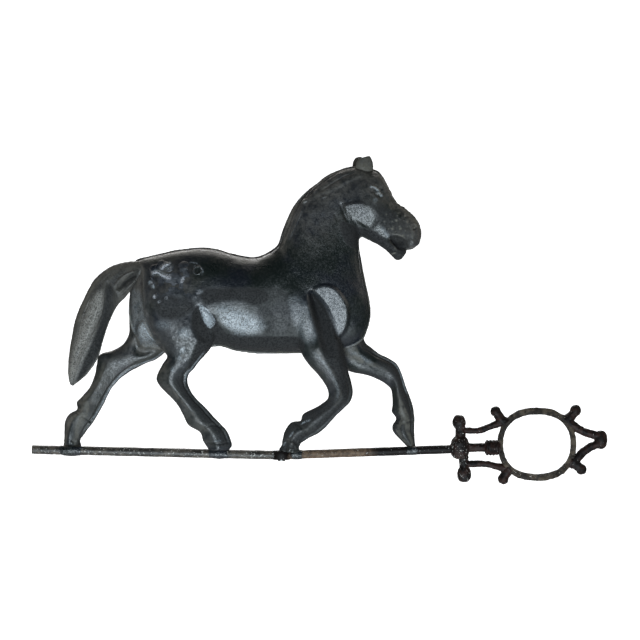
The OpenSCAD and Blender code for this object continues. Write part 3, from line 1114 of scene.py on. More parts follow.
@dataclass(frozen=True)
class Limb:
    """Ribs of a leg, neck or tail: two opposite points of the side view, half width and depth."""

    ribs: tuple[Rib, ...]
    sides: int = 40
    lip_first: float = 0.0
    lip_second: float = 0.0
    seam: int = 0
    keel: float = 0.0
    keel_at: float = 0.0

    def rows(self, steps: int = 5, grow: float = 0.0) -> Array:
        """Blends the ribs, grown outwards by some millimetres.

        The last column is the share of the way.
        """
        rows = blended(self.ribs, steps)
        rows = np.column_stack([rows, np.linspace(0, 1, len(rows))])
        if grow:
            d = rows[:, 2:4] - rows[:, 0:2]
            u = d / np.linalg.norm(d, axis=1)[:, None] * grow
            rows[:, 0:2] -= u
            rows[:, 2:4] += u
            rows[:, 4] += grow
        return rows

    def solid(self, name: str, rows: Array | None = None) -> Obj:
        """Makes the closed solid, with its seam lips where it has them.

        Args:
            name: Name of the object.
            rows: Blended ribs, or none for the limb's own.

        Returns:
            The closed solid.
        """
        lip_half = 0.9
        angles = np.linspace(0, 2 * math.pi, self.sides, endpoint=False)
        angles = angles - 0.28 * np.sin(2 * angles) / 2
        c, s = np.cos(angles), np.sin(angles)

        def ring(row: Array) -> Array:
            """Makes one section."""
            middle = (row[0:2] + row[2:4]) / 2
            half = (row[0:2] - row[2:4]) / 2
            length = max(float(np.linalg.norm(half)), 0.5)
            y = row[4] * s
            for sign, lip in ((1, self.lip_first), (-1, self.lip_second)):
                if lip <= 0:
                    continue
                end = 1 - min(lip / length, 0.5)
                t = np.clip(c * sign / end, 0, 1)
                body = lip_half + max(row[4] - lip_half, 0) * np.sqrt(1 - t**2)
                y = np.where(c * sign > 0, np.sign(s) * body, y)
            if self.keel > 0:
                # Two planes that meet in a ridge down the lower leg
                at = self.keel_at
                reach = np.where(c > at, 1 - at, 1 + at)
                roof = np.sign(s) * (1.0 + (row[4] - 1.0) * (1 - np.abs(c - at) / reach) * 1.08)
                y = y + (roof - y) * self.keel * float(smoothstep(np.array((row[6] - 0.3) / 0.15)))
            return np.column_stack([middle[0] + half[0] * c, row[5] + y, middle[1] + half[1] * c])

        return tube(name, self.rows() if rows is None else rows, ring)

    def cutter(self, name: str) -> Obj:
        """Makes a grown solid that takes everything of the limb past its seam.

        Args:
            name: Name of the object.

        Returns:
            The closed cutter.
        """
        steps = 3
        rows = self.rows(steps, 4.0)[self.seam * steps :]
        beyond = rows[-1].copy()
        beyond[:4] += (rows[-1] - rows[-2])[:4] * 3
        return Limb(self.ribs, 24).solid(name, np.vstack([rows, beyond]))

    def lock(self, share: float, first: float, last: float) -> tuple[Point2, ...]:
        """A path along the limb at a share of its breadth.

        Args:
            share: 0 at the first edge, 1 at the second.
            first: Where it starts, as a share of the limb's length.
            last: Where it ends.

        Returns:
            Places in the side view.
        """
        rows = blended(self.ribs, 4)
        picked = rows[int(first * (len(rows) - 1)) : int(last * (len(rows) - 1)) + 1 : 2]
        return tuple(
            (float(r[0] + (r[2] - r[0]) * share), float(r[1] + (r[3] - r[1]) * share))
            for r in picked
        )

    def stroke(
        self, share: float, first: float, last: float, width: float, height: float, side: Side,
        fade: float = 0.2, edge: Edge = Edge.ROUND,
    ) -> Stroke:
        """A stroke on the limb, at a share of its breadth and between two of its length."""
        return Stroke(self.lock(share, first, last), width, height, side, edge, fade)


@dataclass
class Horse:
    """The hollow horse: two body halves, four legs, tail and ears."""

    voxel: float = 0.85
    trunk: Limb = Limb((
        (-157.5, 206, -162.4, 158, 7, 0), (-153, 213, -158, 138, 16, 0),
        (-140, 217, -142, 124, 23, 0), (-119, 222, -121, 116, 27, 0), (-93, 226, -94, 116, 28, 0),
        (-72, 225, -68, 122, 27, 0), (-50, 219, -48, 117, 28, 0), (-29, 216, -20, 114, 29, 0),
        (-15, 221, 8, 114, 28, 0), (-4, 229, 34, 115, 26, 0), (1, 243, 61, 118, 24, 0),
        (6, 256, 85, 128, 22, 0), (12, 269, 94, 152, 20, 0), (21, 280, 93, 171, 18, 0),
        (34, 292, 88, 194, 16, 0), (49, 303, 84, 216, 15, 0), (63, 309, 82, 234, 14, 0),
        (77, 312, 85, 238, 14, 0), (91, 310, 88, 237, 15, 0), (102, 307, 92, 235, 16, 0),
        (109, 299, 96, 233, 15.5, 0), (115, 287, 101, 231, 13.5, 0), (122, 274, 107, 230, 11.5, 0),
        (133, 266, 113, 231, 10.5, 0), (142, 257, 119, 232, 10, 0), (147, 247, 125, 228.4, 9.5, 0),
        (148, 239, 132, 224.2, 8, 0), (146, 230, 138.5, 224.2, 4.5, 0),
    ), sides=72, lip_first=2.2, lip_second=3.2)
    jaw: Limb = Limb((
        (97, 257, 86, 240, 6, 0), (104, 251, 93, 236, 8.5, 0), (111, 243, 101.5, 230.6, 8.2, 0),
        (118, 235, 110.5, 224.2, 7.2, 0), (126, 228, 116, 219, 6.6, 0),
        (130.5, 224.5, 122, 213.6, 6.0, 0), (132.5, 221, 127.5, 214.5, 4.6, 0),
    ), sides=32)
    right_hind: Limb = Limb((
        (-88, 207, -144, 205, 4, -11), (-74, 182, -147, 180, 15, -13),
        (-70, 157, -144, 153, 16, -13.5), (-68, 137.5, -135, 131, 14.5, -14),
        (-74.4, 121, -126, 119, 12.5, -13.5), (-86, 107, -119.5, 111, 11, -13),
        (-92, 99, -124.5, 103, 10, -12.5), (-98, 92, -131, 90, 8.5, -12),
        (-99.5, 84, -129, 82, 8, -11.5), (-97, 76, -119, 71, 7, -11), (-91, 67, -109, 60, 6.5, -10),
        (-80.8, 57, -103, 49, 6.5, -9), (-70.4, 45.6, -97.5, 38.5, 7.5, -8),
        (-63.6, 38.5, -87, 32, 6.5, -6.5), (-57.6, 31.6, -84, 28, 7.5, -5.5),
        (-54.4, 24, -82.5, 22, 8, -4.5), (-53, 16.5, -78.5, 15.5, 8, -4),
        (-57, 11.5, -76, 11.5, 7.5, -3.5),
    ), lip_first=1.6, seam=5, keel=0.75, keel_at=-0.12)
    left_hind: Limb = Limb((
        (-95, 200, -150, 200, 10, 13), (-92, 176, -161, 176, 15, 12),
        (-98, 150, -162, 150, 15.5, 12.5), (-112, 127, -162.5, 134, 14, 12.5),
        (-131, 109, -169, 123, 11, 12), (-143, 104, -180, 117, 9.5, 12),
        (-155, 98.5, -193.2, 112.5, 8.5, 11), (-165, 93, -196.6, 101.5, 8, 11),
        (-174, 85.5, -198.4, 91, 7, 10), (-182.5, 74.5, -203.6, 78, 6.5, 9.5),
        (-188.5, 62, -212.4, 67.5, 6.5, 8.5), (-191.5, 56.5, -217.4, 62, 7, 8),
        (-196, 49, -216.6, 54.4, 6.5, 7), (-200.5, 41.5, -224, 50, 6.5, 6),
        (-206, 34, -229.2, 43, 7, 5.5), (-211, 27, -230.2, 33, 7.5, 5),
        (-214, 21, -230.5, 23, 7.5, 4.5), (-212, 14.5, -231, 15, 7, 4),
    ), lip_first=1.8, seam=4, keel=0.75, keel_at=-0.35)
    right_front: Limb = Limb((
        (50, 186, 14, 192, 9, -11), (53, 166, 9, 171, 12.5, -14), (56, 146, 13, 149, 13.5, -15),
        (62, 128, 18, 131, 12.5, -14.5), (67, 111, 21, 115, 11, -13.5),
        (69.5, 101, 29, 104, 9.5, -13), (71.5, 92, 38.5, 92.5, 8.5, -12),
        (74, 82, 46, 83, 8, -11.5), (75, 73, 50, 74, 8, -11), (72.5, 64, 50, 67.5, 7.5, -10.5),
        (64, 55, 46, 63, 6.5, -9.5), (54, 45, 37.5, 57.5, 6, -8.5),
        (46.5, 36.5, 25.5, 51.5, 6.5, -7.5), (39, 30.5, 21.8, 47.5, 6.5, -7),
        (33, 27, 20.6, 42.6, 6.5, -6.5), (26.5, 23.5, 10.6, 41, 6.5, -5.5),
        (20.5, 19, 3.6, 31, 7, -4.5), (18.7, 15, 0.5, 19, 7, -4), (18.5, 9.5, -2.5, 10, 6.5, -3.5),
    ), lip_first=1.8, seam=4, keel=0.7, keel_at=0.05)
    left_front: Limb = Limb((
        (78, 170, 38, 168, 9, 10), (85, 148, 42, 142, 12, 12), (88, 127, 59, 105, 11, 12),
        (97, 118.5, 72, 95.5, 10, 12), (106, 112, 92, 91, 9, 11), (115, 107.5, 105, 85.5, 8, 10.5),
        (122.5, 102, 113, 80, 7.5, 10), (127.5, 91.5, 117, 75, 7.5, 9.5), (131, 80, 118, 66, 7, 9),
        (135, 70.5, 118, 58, 6.5, 8), (139, 58.5, 117.4, 52, 7, 7.5),
        (140.5, 49, 122.2, 45, 6.5, 6.5), (140.5, 39.5, 118.2, 37.5, 7, 5.5),
        (140.5, 29, 119.5, 30, 7, 5), (141, 20, 130, 19, 5.5, 4),
        (141.5, 14.5, 134.5, 14.5, 4, 3.5),
    ), lip_first=1.8, seam=2, keel=0.7, keel_at=-0.1)
    tail: Limb = Limb((
        (-141, 211, -146, 196, 8, -5), (-153, 212, -156, 185, 9.5, -3),
        (-167, 210.6, -165, 174, 10.5, -1), (-182.6, 205.4, -175, 163, 11, 0),
        (-198.4, 192.4, -183, 146, 12, 0), (-209, 173, -189, 128, 12, 0),
        (-218, 152, -193, 113, 11, 0), (-223, 128, -200, 100, 10, 0), (-226, 105, -209, 89, 8, 0),
        (-226, 90, -218, 82, 5, 0), (-224, 81, -221, 79.5, 2, 0),
    ), sides=48)
    right_ear: Limb = Limb((
        (78, 292, 98, 290.5, 2.4, 0), (77.6, 303, 97.8, 302.5, 3.0, -1),
        (78.4, 314, 96.6, 316, 3.2, -4), (81.5, 320.4, 93.4, 323, 2.4, -5),
    ), sides=24)
    left_ear: Limb = Limb((
        (73.6, 297, 91, 296, 4.0, 2), (74.4, 307.5, 89.6, 307, 4.2, 4.6),
        (75.8, 317.5, 87.4, 318, 3.8, 8), (78.6, 322.2, 84.8, 322.8, 2.6, 8.5),
    ), sides=24)
    muscles: tuple[Touch, ...] = (
        # The far buttock lies deeper than the near thigh, which ends in a soft step
        Plate((
            -172, 215, -151.5, 206, -150.5, 190, -149, 172, -144.5, 152, -138, 135, -129, 121,
            -140, 112, -172, 120, -178, 165,
        ), -6.5, 9.0),
        Stroke((
            -147.5, 208, -148.5, 190, -147.5, 170, -143.5, 151, -136.5, 133.5, -128, 123,
        ), 8.0, -1.6),
        # Thigh, stifle and gaskin of the near hind leg
        Swell((-112, 160), (44, 42), 0, 2.6),
        Swell((-97, 139), (16, 18), 30, 1.6),
        # Shoulder and the narrower girth behind it
        Swell((52, 180), (30, 44), 22, 2.4, sideways=True),
        Swell((14, 156), (22, 40), 6, 2.2, sideways=True),
        Swell((0, 148), (26, 44), 8, -3.4, sideways=True),
        Swell((34, 112), (18, 26), -18, 1.2),
        # The crest stands over the throat; the barrel is full above its lit side
        Swell((30, 268), (40, 30), 42, 2.2, Side.BOTH, sideways=True),
        Swell((-46, 186), (58, 34), -4, 1.4, sideways=True),
        Stroke((83, 226, 84.5, 205, 88, 187, 92, 168, 90, 154), 4.4, -1.3, fade=0.1),
    )
    facets: tuple[Touch, ...] = (
        # Barrel
        Facet((
            -69.4, 164.3, -58.8, 168.5, -46.1, 167.5, -34.5, 162.2, -24.9, 154.8, -21.7, 147.3,
            -27, 139.9, -39.8, 136.7, -54.6, 138.9, -66.2, 145.2, -72.6, 154.8,
        ), 0.7, 20.0),
        # Fold of skin at the flank, with the deep hollow behind it
        Plate((
            -90.8, 156.9, -86.6, 164.3, -83.4, 160.1, -80.2, 152.6, -77, 145.2, -73.9, 138.9,
            -76, 130.4, -81.3, 127.2, -87.6, 132.5, -91.9, 143.1,
        ), -2.6, 7.0),
        Facet((
            -86.6, 164.3, -79.2, 162.2, -72.8, 154.8, -69.6, 147.3, -73.9, 141, -79.2, 145.2,
            -83.4, 154.8,
        ), 0.9, 2.0, lift=1.4),
        Stroke((-81.8, 161.7, -74.9, 156.9, -68.5, 147.3), 2.4, -1.7, fade=0.1),
        # Shoulder plate and the groove between it and the upper arm
        Facet((
            33.4, 180.2, 38.7, 184.4, 46.1, 186, 53.5, 184.4, 59.9, 179.7, 65.2, 172.8, 69.4, 164.3,
            71, 154.8, 69.4, 144.2, 65.2, 135.7, 58.3, 130.4, 55.7, 138.9, 52.5, 150.5, 47.2, 161.1,
            41.9, 169.6, 36.6, 176,
        ), 0.9, 4.5, lean=12.5, lift=0.3),
        Facet((
            31.3, 177, 35.5, 174.9, 46.1, 162.2, 54.6, 144.2, 57.8, 131.4, 59.9, 117.7, 56.7, 107.1,
            49.3, 111.3, 41.9, 125.1, 36.6, 144.2, 32.3, 162.2,
        ), 0.8, 9.0, lean=-12.0, lift=-1.4),
        # Upper arm
        Facet((
            8, 170.7, 16.4, 169.6, 23.9, 167.5, 29.2, 163.2, 32.3, 154.8, 36.6, 144.2, 39.8, 133.6,
            37.6, 126.1, 31.3, 125.1, 26, 132.5, 19.6, 144.2, 14.3, 154.8,
        ), 0.5, 14.0),
    )
    far_facets: tuple[Touch, ...] = (
        # Buttock, with the raised edge of the thigh's inner face
        Facet((
            -152.1, 143.1, -145.2, 147.3, -140.5, 137.8, -137.3, 130.4, -143.6, 126.1,
            -151.1, 129.3,
        ), 0.8, 5.0, lean=11.0, lift=0.2),
        Stroke((-144.9, 148.4, -141, 139.9, -136.2, 132.5, -128.8, 124), 3.2, 1.0, fade=0.1),
    )
    # Painted highlight lines down the legs, laid into the grey layer
    highlight_streaks: tuple[tuple[Places, Side], ...] = (
        ((-101.2, 117.7, -105.5, 110.2, -109.7, 102.8, -115, 95.4), Side.RIGHT),
        ((
            -121.4, 88, -118.2, 79.5, -111.8, 72.1, -104.4, 63.6, -97, 54.1, -89.6, 45.6, -82.2, 36,
            -72.6, 24.4,
        ), Side.RIGHT),
        ((34.5, 120.8, 41.9, 111.3, 49.3, 100.7, 55.7, 91.2, 59.9, 82.7), Side.RIGHT),
        ((62, 78.4, 61, 67.8, 53.5, 57.2), Side.RIGHT),
        ((16.4, 30.7, 10.1, 26.5, 4.8, 20.1), Side.RIGHT),
        ((-139.4, 120.8, -152.1, 116.6, -165.9, 110.2, -174.4, 106), Side.INNER),
        ((
            -183.9, 104.9, -190.3, 91.2, -195.6, 76.3, -201.9, 62.5, -207.2, 50.9, -215.7, 39.2,
            -223.1, 28.6,
        ), Side.INNER),
        ((70.5, 115.5, 85.3, 107.1, 101.2, 100.7, 116.1, 91.2), Side.INNER),
        ((121.4, 77.4, 125.6, 64.7, 127.7, 51.9, 128.8, 35), Side.INNER),
    )
    dust_and_highlight_lines: tuple[Touch, ...] = (
        # Light olive dust along the forehead, nose, crest and tail and on the muzzle, with painted
        # highlight lines among it
        *swells(
            Side.BOTH,
            (86, 305, 17, 11, 0, 0.35),
        ),
        *strokes(
            Side.INNER, 0.2,
            (7.0, 0.4, -188.2, 109.2, -192.4, 90.1, -205.1, 71, -213.6, 60.4),
        ),
        # Painted highlight lines on the eyelid, the buttock's ridge and the lips
        *strokes(
            Side.RIGHT, 0.2,
            (2.4, 1.0, 93.8, 291.5, 99.1, 290.4, 103.4, 284.1, 105.5, 279.8),
            (1.6, 0.8, -144.7, 148.4, -139.4, 135.7, -132, 127.2),
            (2.2, 0.8, 112.9, 237.4, 117.1, 230, 122.4, 223.7),
            (1.8, 0.7, 115, 240.6, 123.5, 239.6, 130.9, 236.4),
            (2.0, 1.0, 116.1, 219.4, 121.4, 220.5),
        ),
        *strokes(
            Side.BOTH, 0.1,
            (9.0, 0.8, 100.2, 306.3, 109.7, 296.8, 116.1, 284.1, 125.6, 271.4, 138.3, 258.6,
            145.8, 245.9),
            (5.0, 0.5, 2.7, 236.4, 6.9, 251.2, 15.4, 270.3, 30.2, 288.3, 49.3, 302.1, 72.6, 310.6),
            (6.0, 0.35, -158.5, 209.9, -179.7, 203.5, -195.6, 190.8, -207.2, 169.6, -215.7, 143.1),
        ),
        *(Swell(at, (2.3, 1.9), 0, 0.9) for at in (
            (140.5, 247), (125.6, 245.9), (117.1, 245.9), (121.4, 254.4), (133, 253.3),
            (128.8, 238.5), (137.3, 238.5), (130.9, 259.7), (123.5, 262.9),
        )),
        *(Swell(at, (1.5, 1.2), 0, 0.6) for at in (
            (122.4, 259.7), (128.8, 254.4), (135.2, 256.5), (117.1, 253.3), (124.6, 248),
            (130.9, 243.8), (112.9, 245.9), (137.3, 250.2), (120.3, 242.7), (127.7, 238.5),
            (134.1, 238.5), (110.8, 260.8), (116.1, 267.1), (123.5, 268.2), (108.7, 253.3),
            (139.4, 243.8), (125.6, 262.9), (133, 248), (118.2, 248),
        )),
    )
    films: tuple[Touch, ...] = (
        # Where the paint has gone grey and matte
        *swells(
            Side.BOTH,
            (28, 262, 62, 62, 0, 0.6),
            (50, 290, 66, 36, 24, 1.0),
            (98, 292, 34, 34, -40, 0.9),
            (134, 244, 30, 26, -40, 1.0),
            (86, 314, 24, 22, 0, 1.0),
        ),
        *strokes(
            Side.BOTH, 0.1,
            (17.0, 1.0, 107.6, 303.2, 115, 287.3, 123.5, 272.4, 137.3, 259.7, 144.7, 242.7,
            142.6, 230),
        ),
        *swells(
            Side.RIGHT,
            (-136.2, 181.3, 9, 32, 0, 0.55),
            (-123, 199, 20, 12, 14, 1.0),
            (-112, 189, 40, 32, 0, 0.85),
            (-112, 137, 26, 22, 0, 0.3),
        ),
        *plates(
            Side.BOTH,
            (1.0, 14.0, -165, 216, -150, 214, -143, 205, -144, 180, -141, 160, -131, 135, -122, 118,
            -165, 112, -185, 140),
            (0.9, 8.0, -160, 215, -180, 212, -203, 196, -215, 172, -222, 150, -230, 120, -231, 85,
            -222, 80, -213, 100, -201, 128, -192, 147, -187, 165, -184, 181, -175, 196, -163, 203),
        ),
    )
    bare: tuple[Touch, ...] = (
        # Painted highlights: pale speckled blue-grey where light catches the paint on the shoulder,
        # barrel, flank, legs, head, tail and rump patch
        *plates(
            Side.RIGHT,
            (0.15, 4.0, 33.4, 179.1, 38.7, 183.4, 46.1, 185, 53.5, 183.4, 59.9, 178.1, 65.2, 170.7,
            68.4, 161.1, 68.4, 149.5, 65.2, 138.9, 58.8, 134.6, 55.7, 143.1, 51.4, 153.7,
            46.1, 164.3, 39.8, 172.8),
            (0.55, 8.0, -69.4, 161.1, -56.7, 164.3, -42.9, 161.1, -30.2, 155.8, -19.6, 148.4,
            -17.5, 141, -29.2, 134.6, -46.1, 134.6, -53, 139, -62, 148),
            (1.0, 7.0, -64.1, 154.8, -52.5, 159, -37.6, 155.8, -24.9, 148.4, -21.7, 139.9,
            -35.5, 136.7, -50.4, 138.9, -59.9, 145.2),
            (1.7, 1.6, -85.5, 163.2, -79.2, 162.2, -72.8, 154.8, -69.6, 147.3, -73.9, 141,
            -79.2, 145.2, -83.4, 154.8),
            (0.22, 6.0, 8, 173.8, 19.6, 173.8, 28.1, 164.3, 33.4, 147.3, 36.6, 127.2, 26, 125.1,
            17.5, 137.8, 11.1, 155.8),
            (0.6, 3.0, -152.1, 143.1, -144.7, 147.3, -140.5, 137.8, -137.3, 130.4, -143.6, 126.1,
            -151.1, 128.3),
            (0.32, 7.0, -159.5, 179.1, -148.9, 179.1, -143.6, 160.1, -137.3, 136.7, -128.8, 121.9,
            -141.5, 115.5, -160.6, 117.7, -170.1, 121.9, -161.7, 138.9, -159.5, 160.1),
        ),
        *strokes(
            Side.RIGHT, 0.2,
            (2.4, 1.8, -87.6, 165.4, -80.2, 162.2, -73.9, 154.8),
            (5.5, 0.25, -103.4, 123, -106.5, 109.2, -114, 95.4),
            (5.0, 0.3, 32.3, 117.7, 42.9, 107.1, 53.5, 92.2, 59.9, 73.1, 54.6, 59.4),
            (3.2, 1.2, -146.8, 147.3, -142.6, 137.8, -137.3, 130.4, -130.9, 125.1),
            (7.0, 0.55, 105.5, 249.1, 109.7, 242.7, 114, 235.3),
            (2.4, 0.45, 114, 236.4, 118.2, 229, 122.4, 223.7),
            (3.6, 1.0, 92.8, 291, 99.1, 288.9, 103.4, 283, 106, 279.8),
            (1.8, 1.0, 116.1, 219.4, 121.4, 220.5),
            (3.0, 0.9, 19.6, 39.2, 26, 42.4, 31.3, 44.5),
            (2.6, 0.9, 8, 25.4, 13.2, 31.8),
            (2.2, 0.8, 1.6, 15.9, 4.8, 21.2),
            (2.0, 0.6, -72.6, 21.2, -63.1, 22.3),
            (2.0, 0.9, 112.9, 237.4, 117.1, 230, 122.4, 223.7),
            (2.0, 0.5, 115, 238.5, 121.4, 240.1, 127.7, 238),
            (8.0, 1.2, -137.3, 197.2, -130.9, 199.8, -123.5, 196.1, -114, 193.5),
            (7.5, 1.0, -127.7, 202.5, -121.4, 207.8, -115, 208.8),
            (2.2, 0.8, -92.8, 203.5, -90.6, 206.7, -86.4, 206.7, -83.2, 203.5, -82.2, 199.3,
            -84.3, 196.1),
            (2.0, 0.8, -97, 209.9, -89.6, 209.4, -85.3, 205.6),
        ),
        *swells(
            Side.RIGHT,
            (-101.2, 135.7, 10, 9, 0, 0.7),
            (-103.4, 117.7, 4.5, 5, 0, 0.95),
            (99.1, 275.6, 3.6, 3.4, 0, 0.8),
            (94.9, 290.4, 2.6, 1.8, 0, 1.5),
            (101.2, 286.2, 2.2, 2.0, 0, 1.5),
            (105.5, 280.9, 2.2, 2.4, 0, 1.5),
            (-122.4, 144.2, 15, 7, 0, 0.3),
            (-106.5, 109.2, 3.5, 6, -20, 0.8),
            (-114, 97.5, 3, 4.5, -20, 0.8),
            (-119.2, 204.6, 9, 5, 12, 0.5),
            (-137.5, 188.8, 3.2, 3, 0, 1.3),
            (-127.7, 168.5, 3, 2, 20, 0.7),
            (-134.5, 184.4, 3.4, 2.4, -50, 1.3),
            (-133, 174, 2.6, 3, 0, 1.2),
            (-120.3, 172.8, 2.6, 2.0, 30, 0.9),
            (-103.4, 191.9, 2.6, 5, -25, 1.5),
            (-85.3, 179.1, 5, 3.4, 0, 0.6),
        ),
        *plates(
            Side.BOTH,
            (0.6, 8.0, -193.5, 179.1, -188.2, 178.1, -189.2, 164.3, -194.5, 147.3, -203, 123,
            -211.5, 104.9, -217.8, 91.2, -224.2, 80.6, -227.4, 90.1, -220, 117.7, -211.5, 144.2,
            -201.9, 166.4),
        ),
        *strokes(
            Side.INNER, 0.2,
            (2.4, 0.6, -225.2, 21.2, -221, 29.7),
            (7.0, 0.55, 68.4, 118.7, 81.1, 112.4, 98.1, 101.8),
        ),
        *strokes(
            Side.BOTH, 0.2,
            (1.6, 1.0, -188.2, 181.3, -196.6, 153.7, -209.4, 121.9, -217.8, 92.2),
            (1.4, 0.9, -194.5, 172.8, -204.1, 141, -213.6, 113.4),
            (1.4, 0.7, -200.9, 174.9, -209.4, 153.7, -215.7, 126.1),
        ),
    )
    dull: tuple[Touch, ...] = (
        # Painted shade: near-black paint, also made matte, on hollows, undersides, grooves and
        # sides turned from the light
        *strokes(
            Side.RIGHT, 0.05,
            (10.0, 0.9, 125.6, 255.5, 134.1, 243.8, 134.1, 230),
            (14.0, 0.9, 63.1, 74.2, 55.7, 60.4, 38.7, 49.8, 21.7, 37.1),
        ),
        *strokes(
            Side.RIGHT, 0.2,
            (8.0, 0.85, 92.8, 243.8, 100.2, 251.2, 107.6, 259.7),
        ),
        *strokes(
            Side.INNER, 0.05,
            (15.0, 0.55, 67.3, 117.7, 85.3, 106, 110.8, 89),
            (16.0, 0.9, 120.3, 49.8, 126.7, 32.9, 132, 20.1),
            (14.0, 0.55, -200.9, 60.4, -213.6, 39.2, -220, 20.1),
            (11.0, 0.9, 85.3, 125.1, 102.3, 115.5, 116.1, 102.8, 125.6, 85.9),
            (9.0, 0.8, 70.5, 95.4, 91.7, 92.2, 112.9, 85.9),
        ),
        *plates(
            Side.BOTH,
            (0.8, 3.0, -185, 187.6, -172.2, 172.8, -181.8, 147.3, -193.5, 117.7, -207.2, 94.3,
            -217.8, 79.5, -209.4, 104.9, -197.7, 132.5, -188.2, 157.9),
            (1.0, 3.0, 62, 253.3, 81.1, 248, 97, 244.3, 107.6, 236.4, 116.1, 227.9, 128.8, 222.6,
            132, 210.9, 104.4, 208.8, 87.5, 221.5, 68.4, 230),
            (0.8, 5.0, 89.6, 274.5, 102.3, 273.5, 116.1, 265, 127.7, 254.4, 134.1, 242.7,
            132, 227.9, 123.5, 230, 114, 238.5, 102.3, 251.2, 98.1, 263.9),
            (1.0, 3.0, 112.9, 234.3, 123.5, 238.5, 134.1, 234.3, 134.1, 223.7, 123.5, 221.5),
            (1.0, 2.0, -172.2, 182.3, -164.8, 192.9, -154.2, 201.4, -150, 202.5, -153.2, 192.9,
            -162.7, 184.4),
        ),
        *plates(
            Side.RIGHT,
            (0.6, 4.0, -128.8, 136.7, -116.1, 132.5, -109.7, 123, -114, 111.3, -120.3, 117.7),
            (0.9, 7.0, -133, 172.8, -112.9, 174.9, -94.9, 170.7, -90.6, 162.2, -99.1, 153.7,
            -111.8, 150.5, -128.8, 153.7),
            (1.0, 3.5, -92.9, 157.9, -87.6, 164.3, -83.4, 159, -78.1, 147.3, -73.9, 138.9,
            -69.6, 128.3, -80.2, 111.3, -94, 96.5, -98.2, 100.7, -91.9, 117.7, -87.6, 132.5,
            -94, 143.1),
            (1.0, 3.0, -73.7, 136.7, -49.3, 134.6, -20.7, 132.5, 19.6, 131.4, 21.7, 115.5,
            -22.8, 115.5, -54.6, 118.7, -73.7, 126.1),
            (0.48, 8.0, -20.7, 181.3, -3.7, 183.4, 8, 173.8, 11.1, 154.8, 15.4, 132.5, -5.8, 132.5,
            -20.7, 134.6, -24.9, 157.9),
            (0.9, 5.0, -82.2, 181.3, -44, 183.4, -18.6, 181.3, -12.2, 170.7, -27, 164.3, -44, 169.6,
            -63.1, 168.5, -80, 165.4),
            (1.0, 4.0, -76, 154, -70, 155, -65, 145, -57, 134, -73.7, 134),
            (1.0, 4.0, 31.3, 177, 36.6, 174.9, 47.2, 162.2, 55.7, 144.2, 59.9, 130.4, 68.4, 117.7,
            72.6, 94.3, 72.6, 73.1, 65.2, 66.8, 55.7, 88, 45.1, 109.2, 38.7, 128.3, 33.4, 149.5,
            29.2, 165.4),
        ),
    )
    head: tuple[Touch, ...] = (
        # The round cheek, and the creases where the neck begins
        Swell((84, 272), (27, 27), -18, 2.0, Side.BOTH, sideways=True),
        Facet((
            66.8, 269.2, 72.6, 272.4, 84.3, 273.5, 91.7, 268.2, 100.7, 259.7, 100.2, 255.5,
            92.8, 247.5, 85.3, 250.2, 77.9, 254.9, 71.5, 261.8,
        ), 0.85, 4.0, Side.BOTH, lift=0.4),
        Stroke((61.7, 274, 65.6, 263.9, 70.5, 251), 6.0, -1.3, Side.BOTH),
        Stroke((55.4, 263, 59.6, 252.8), 4.0, -0.5, Side.BOTH),
        # Eye: socket, ball, lids and the bump under them
        Swell((100.6, 284), (10, 7), -48, -2.0, Side.BOTH),
        Swell((101.0, 284.0), (3.9, 3.0), -48, 2.5, Side.BOTH),
        Stroke((92.6, 289.2, 97.6, 290.2, 102.8, 286.2, 106, 279.8), 3.2, 1.8, Side.BOTH),
        Stroke((95.2, 284.5, 98.2, 279.8, 102.6, 277), 2.8, 1.1, Side.BOTH),
        Swell((99.0, 274.0), (6.0, 4.0), -50, 1.3, Side.BOTH),
        Stroke((93, 301, 103, 297, 110, 287, 116, 274), 7.0, 0.9, Side.BOTH),
        # Mouth and lips
        Facet((
            114, 235.3, 122.4, 237.4, 129.8, 234.3, 133, 227.9, 128.8, 223.7, 121.4, 225.8,
        ), 0.9, 4.5, Side.BOTH, lean=-14.0, lift=-2.2),
        Stroke((115, 240.6, 121.4, 239.8, 127.7, 237.7, 134.1, 234.3), 3.4, 0.5, Side.BOTH),
        Stroke((114, 234.3, 118.2, 227.9, 122.4, 223.1), 3.0, 0.6, Side.BOTH),
        Swell((119.2, 220), (4.4, 1.7), 12, 0.9, Side.BOTH),
        # Muzzle and nostril
        Swell((137.5, 244), (10, 8), -50, 0.8, Side.BOTH),
        Swell((141.0, 246.4), (3.4, 2.3), 50, -2.2, Side.BOTH),
        Stroke((136.6, 249.6, 140.4, 250.6, 144.4, 248), 2.8, 0.7, Side.BOTH),
        Swell((138.5, 231.0), (6.5, 5), 20, 0.8, Side.BOTH),
    )
    mane: tuple[Touch, ...] = (
        Plate((
            90, 318, 76, 318, 60, 315, 46, 307, 30, 295, 16, 281, 5, 262, -4, 240, -10, 224,
            -3, 222, 6, 232, 9.5, 240, 12.5, 249.1, 17, 260.4, 21.5, 269, 25.5, 273, 32, 277,
            41.9, 281.4, 53.3, 286, 63.1, 291, 74.7, 297.2, 86, 303,
        ), 0.9, 4.6, Side.BOTH),
        Stroke((80, 306, 66, 301, 52, 292.5, 40, 284.5), 3.4, -0.9, Side.BOTH),
        Stroke((64, 308, 50, 300, 36, 289, 26, 277), 3.4, -0.9, Side.BOTH),
        Stroke((46, 301, 32, 289.5, 20, 275, 15, 260), 3.2, -0.9, Side.BOTH),
        Stroke((28, 286, 16, 270, 8.4, 253, 3, 236), 3.4, -1.3, Side.BOTH),
        Stroke((75, 311, 60, 306, 44, 296, 30, 283), 2.6, 0.5, Side.BOTH),
        Stroke((24, 272.5, 20, 262, 14, 248, 7.3, 233), 3.0, 0.8, Side.BOTH),
        Swell((24.6, 275), (4.8, 2.4), 25, 1.6, Side.BOTH),
        Swell((35.9, 285.4), (3.8, 2.0), 35, 1.1, Side.BOTH),
        Swell((44.7, 279.6), (4.8, 2.0), 12, 1.0, Side.BOTH),
        Swell((60.7, 303.5), (4.8, 2.0), 20, 0.9, Side.BOTH),
    )
